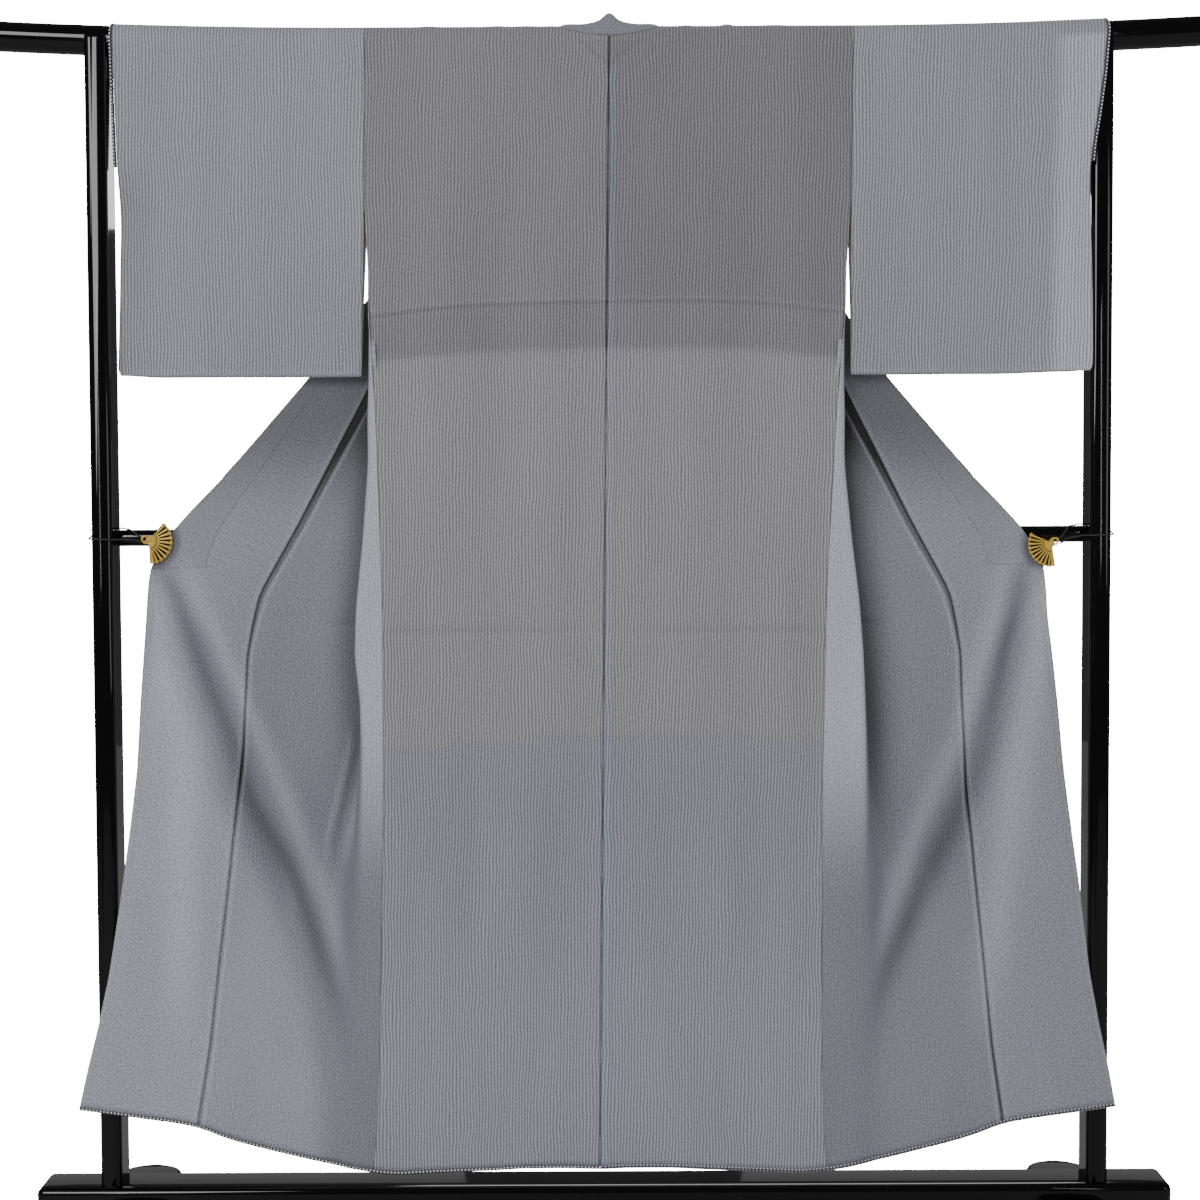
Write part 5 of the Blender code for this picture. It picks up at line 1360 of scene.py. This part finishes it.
def buildPost(side):
    # slices across the depth: each slice is a rectangle whose top follows the notch for the bar
    half, wide, rnd = 0.5 * stand["postDepth"], 0.5 * stand["postWidth"], stand["postRound"]
    notch = stand["barRadius"] + 0.0012
    centre = float(barCentre(stand["postX"]))
    corner = half - rnd + rnd * np.sin(np.linspace(0.0, 0.5 * math.pi, 10))
    inside = notch * np.sin(np.linspace(0.0, 0.5 * math.pi, 14))
    depth = np.concatenate([inside, (notch + 0.0003,), corner])
    depth = np.unique(np.round(np.concatenate([-depth, depth]), 6))
    over = np.maximum(np.abs(depth) - (half - rnd), 0.0)
    width = wide - rnd + np.sqrt(np.maximum(rnd * rnd - over * over, 0.0))
    openTop = np.abs(depth) < notch + 0.0001
    top = np.where(openTop, centre - np.sqrt(np.maximum(notch ** 2 - depth ** 2, 0.0)), stand["postTop"])
    top = top - 0.004 * (over / rnd) ** 4
    low = beamTop + stand["gap"]
    lip = stand["postLip"]
    corners = ((-width, low), (-width, top - lip), (-width + lip, top), (width - lip, top), (width, top - lip),
               (width, low))
    sections = np.stack([gridOf(x + side * stand["postX"], depth, z) for x, z in corners], axis=1)
    word = sideWord(side)
    item = polishedPiece("post" + word.title(), sections, blackLacquer)
    return dress(item, "post_" + word)


def buildBar():
    # round bar whose ends sweep up and finish in a small rounded edge
    x = np.linspace(-stand["barHalf"], stand["barHalf"], 121)
    size = np.full(len(x), stand["barRadius"])
    rnd = stand["barEdge"]
    ends = np.array((0.0, 0.0006, 0.0016, rnd))
    shrink = rnd - np.sqrt(rnd ** 2 - (rnd - ends) ** 2)
    x = np.concatenate([-stand["barHalf"] + ends, x[1:-1], (stand["barHalf"] - ends)[::-1]])
    size = np.concatenate([size[:4] - shrink, size[1:-1], (size[:4] - shrink)[::-1]])
    w = circle(64)[None, :]
    sections = gridOf(x[:, None], size[:, None] * np.cos(w), barCentre(x)[:, None] + size[:, None] * np.sin(w))
    return dress(polishedPiece("topBar", sections, blackLacquer), "top_bar")


def buildCrossbar():
    # plain round rod between the uprights
    reach = stand["postX"] - 0.5 * stand["postWidth"] - stand["gap"]
    x = np.linspace(-reach, reach, 9)[:, None]
    w, radius = circle(48)[None, :], stand["crossRadius"]
    sections = gridOf(x, stand["crossY"] + radius * np.cos(w), stand["crossZ"] + radius * np.sin(w))
    return dress(polishedPiece("crossbar", sections, blackLacquer), "crossbar")


def buildBeam():
    # rounded rectangle along X that shrinks by a quarter circle at both ends
    rnd = stand["beamRound"]
    k = np.linspace(0.0, 0.5 * math.pi, 10)
    x = stand["beamHalf"] - rnd + rnd * np.sin(k)
    inset = rnd - rnd * np.cos(k)
    x = np.concatenate([-x[::-1], np.linspace(-0.7, 0.7, 9), x])
    inset = np.concatenate([inset[::-1], np.zeros(9), inset])
    rows = []
    for place, cut in zip(x, inset):
        y, z = roundedLoop(0.5 * stand["beamDepth"] - cut, 0.5 * stand["beamHeight"] - cut, max(rnd - cut, 0.001))
        rows.append(gridOf(place, y, z + beamTop - 0.5 * stand["beamHeight"]))
    return dress(polishedPiece("baseBeam", np.array(rows), blackLacquer), "base_beam")


def buildFoot(side):
    # slices along the foot: wide boards with rounded plan ends and a rounded upper edge
    half, wide, high = 0.5 * stand["footLength"], 0.5 * stand["footWidth"], stand["footHeight"]
    k = np.linspace(0.0, 0.5 * math.pi * 0.985, 16)
    rnd = stand["footRound"]
    y = half - rnd + rnd * np.sin(k)
    width = wide * np.cos(k) ** 0.85
    y = np.concatenate([-y[::-1], np.linspace(-half + 0.06, half - 0.06, 7), y])
    width = np.concatenate([width[::-1], np.full(7, wide), width])
    edge = np.linspace(0.0, 0.5 * math.pi, 7)
    rows = []
    for place, w in zip(y, width):
        r = min(stand["footEdge"], 0.6 * w)
        rightX = np.concatenate([(w,), w - r + r * np.cos(edge)])
        rightZ = np.concatenate([(0.0,), high - r + r * np.sin(edge)])
        x = np.concatenate([rightX, -rightX[::-1]]) + side * stand["postX"]
        z = np.concatenate([rightZ, rightZ[::-1]])
        rows.append(gridOf(x, place, z))
    word = sideWord(side)
    return dress(polishedPiece("foot" + word.title(), np.array(rows), blackLacquer), "foot_" + word)


clips = {
    "side": (-1, 1), "x": (-0.5955, 0.5930), "y": (-0.0085, -0.0085), "z": (0.952, 0.9430),
    "first": (50.0, 152.0), "last": (-88.0, 279.0),
}
fan = {
    "radius": 0.0302, "inner": 0.0036, "wall": 0.0010, "blades": 11, "steps": 12, "rings": 20,
    "jawReach": 0.0225, "jawBehind": 0.0095, "ringPlace": 0.0040,
}


def buildClip(index):
    # open folding fan with raised blades and dark gaps, a round boss, a jaw behind and a ring
    side = clips["side"][index]
    cx, cy, cz = clips["x"][index], clips["y"][index], clips["z"][index]
    first, last = math.radians(clips["first"][index]), math.radians(clips["last"][index])
    blades, name = fan["blades"], sideWord(side).title()
    slot = "clip_" + sideWord(side)
    steps = np.linspace(0.0, 1.0, blades * fan["steps"] + 1)[:, None]
    r = fan["inner"] + (fan["radius"] - fan["inner"]) * np.linspace(0.0, 1.0, fan["rings"])[None, :]
    phase = steps * blades
    inBlade = phase - np.floor(np.minimum(phase, blades - 1e-6))
    # the blade nearest the cloth is broad and plain
    plain = soften(steps, 1.0 - 1.15 / blades, 1.0 - 0.95 / blades)
    ridge = np.sin(math.pi * np.clip(inBlade, 0.0, 1.0)) ** 0.5
    ridge = ridge * (1.0 - plain) + plain
    reach = soften(r, 0.010, 0.015)
    boss = falling(r, 0.0085, 0.0100)
    scallop = 0.0013 * np.sin(math.pi * inBlade) * (1.0 - plain) * soften(r, 0.024, fan["radius"])
    radius = r + scallop
    w = first + (last - first) * steps
    y = cy - 0.0010 * ridge * reach - 0.0009 * boss + 0.0006 * reach
    points = gridOf(cx + radius * np.cos(w), y, cz + radius * np.sin(w))
    gap = falling(ridge, 0.84, 0.95) * reach * falling(r, 0.0282, 0.0296)
    gap = np.minimum(gap + 0.8 * bump(r, 0.0108, 0.0009), 1.0)
    item = clothPiece("clip" + name, points, gridOf(radius, w * 0.02), {"tone": gap}, (giltBlade, giltBlade),
                      fan["wall"], outside=outwardSign(points, 60, 10))
    dress(item, slot)
    # jaw behind the cloth, as a plain sector
    v = np.linspace(0.15, 0.85, 30)[:, None]
    rj = np.linspace(fan["inner"], fan["jawReach"], 8)[None, :]
    wj = first + (last - first) * v
    jaw = gridOf(cx + rj * np.cos(wj), cy + fan["jawBehind"], cz + rj * np.sin(wj))
    jawItem = clothPiece("clipJaw" + name, jaw, gridOf(rj, wj * 0.02), {"tone": 0.0}, (giltBlade, giltBlade),
                         fan["wall"])
    dress(jawItem, slot=slot)
    # boss: a turned profile round the pivot, from the front dome back to the jaw
    profile = np.array(((0.0001, -0.0026), (0.0018, -0.0025), (0.0028, -0.0020), (0.0036, -0.0012), (0.0042, -0.0004),
                        (0.0047, 0.0104), (0.0001, 0.0106)))
    profile = smoothRows(profile, 4)[:-3]
    a = circle(40)[None, :]
    sections = gridOf(cx + profile[:, :1] * np.cos(a), cy + profile[:, 1:], cz + profile[:, :1] * np.sin(a))
    dress(polishedPiece("clipBoss" + name, sections, giltMetal), slot=slot)
    # two small rings that carry the elastic
    middle = 0.5 * (first + last) + math.pi
    rx, rz = cx + fan["ringPlace"] * math.cos(middle), cz + fan["ringPlace"] * math.sin(middle)
    for number, (shift, size) in enumerate(((0.0, 0.0048), (0.0026, 0.0036))):
        hx, hz = rx + shift * math.cos(middle), rz + shift * math.sin(middle)
        a, b = circle(48)[:, None], circle(14)[None, :]
        thick = 0.0010 - 0.0002 * number
        rr = size + thick * np.cos(b)
        torus = gridOf(hx + rr * np.cos(a), cy + 0.0002 * number + thick * np.sin(b), hz + rr * np.sin(a))
        i, j = np.meshgrid(np.arange(48), np.arange(14), indexing="ij")
        i2, j2 = (i + 1) % 48, (j + 1) % 14
        quads = np.stack([i * 14 + j, i * 14 + j2, i2 * 14 + j2, i2 * 14 + j], axis=-1).reshape(-1, 4)
        ring = makeObject("clipRing" + name + str(number), torus.reshape(-1, 3), quads)
        ring.data.materials.append(giltMetal)
        dress(faceOutwards(ring), slot=slot)
    return rx, cy, rz


def buildElastic(side, ring):
    # thin cord: ring, along the crossbar, round the upright and back over the crossbar
    rx, ry, rz = ring
    radius, corner = 0.0011, 0.003
    gap = radius + 0.0014
    halfW = 0.5 * stand["postWidth"] - corner
    halfD = 0.5 * stand["postDepth"] - corner
    low = stand["crossZ"] - 0.001
    high = stand["crossZ"] + stand["crossRadius"] + radius + 0.0006
    face = side * (stand["postX"] - 0.5 * stand["postWidth"])
    start = rx + side * 0.0064
    path = [(start, ry - 0.0015, rz - 0.003), (start + side * 0.010, ry - 0.005, 0.5 * (rz + low)),
            (face - side * 0.008, -0.5 * stand["postDepth"] + 0.004, low)]
    for cx, cy, angle, level in ((-halfW, -halfD, -180.0, low), (halfW, -halfD, -90.0, low + 0.001),
                                 (halfW, halfD, 0.0, high - 0.001), (-halfW, halfD, 90.0, high)):
        for part in (10.0, 30.0, 50.0, 70.0, 85.0):
            w = math.radians(angle + part)
            path.append((side * (stand["postX"] + cx + (corner + gap) * math.cos(w)),
                         cy + (corner + gap) * math.sin(w), level))
    path += [(face - side * 0.003, 0.022, high), (face - side * 0.009, 0.008, high + 0.0005),
             (start + side * 0.014, ry + 0.005, high - 0.002), (start + side * 0.0012, ry + 0.0015, rz + 0.0035)]
    word = sideWord(side)
    item = tubeAlong("elastic" + word.title(), path, (radius, radius), 12, elasticBlack)
    dress(item, "elastic_" + word)
    length = float(np.sum(np.linalg.norm(np.diff(np.array(path), axis=0), axis=1)))
    return item, path, length


def makeBlade():
    # gilt blades; the tone attribute marks the dark gaps between them
    material, tree, shader = newMaterial("giltBlade", Metallic=0.5)
    wear = placeGroup(tree, wearGroup, Base=(1.0, 0.68, 0.13), Dust=(0.66, 0.36, 0.04), Dust_Amount=0.35,
                      Rough_Base=0.18, Rough_Spread=0.25, Scale=260.0)
    gap = addNode(tree, "ShaderNodeAttribute", attribute_name="tone").outputs["Fac"]
    tree.links.new(mixColour(tree, gap, wear.outputs["Color"], (0.022, 0.010, 0.003)), shader.inputs["Base Color"])
    tree.links.new(wear.outputs["Roughness"], shader.inputs["Roughness"])
    addBump(tree, shader, wear.outputs["Height"], 0.06, 0.0005)
    return material


giltBlade = makeBlade()

for side, word in ((-1, "left"), (1, "right")):
    bodyItem, bodyPoints = buildBody(side)
    okumiItem, okumiPoints = buildOkumi(side)
    sleeveItem, sleevePoints = buildSleeve(side)
    hemItem = buildHem(side, bodyPoints, okumiPoints)
    cuffItem = buildCuff(side)
collarItem, collarPoints = buildCollar()
print("collar area", round(sheetArea(collarPoints), 4))

buildBar()
buildCrossbar()
buildBeam()
for side in (-1, 1):
    buildPost(side)
    buildFoot(side)
print("stand built")

for index, word in enumerate(("left", "right")):
    ring = buildClip(index)
    elasticItem, path, length = buildElastic(clips["side"][index], ring)
    print("elastic", word, round(length, 4))
print("clips and elastics built")
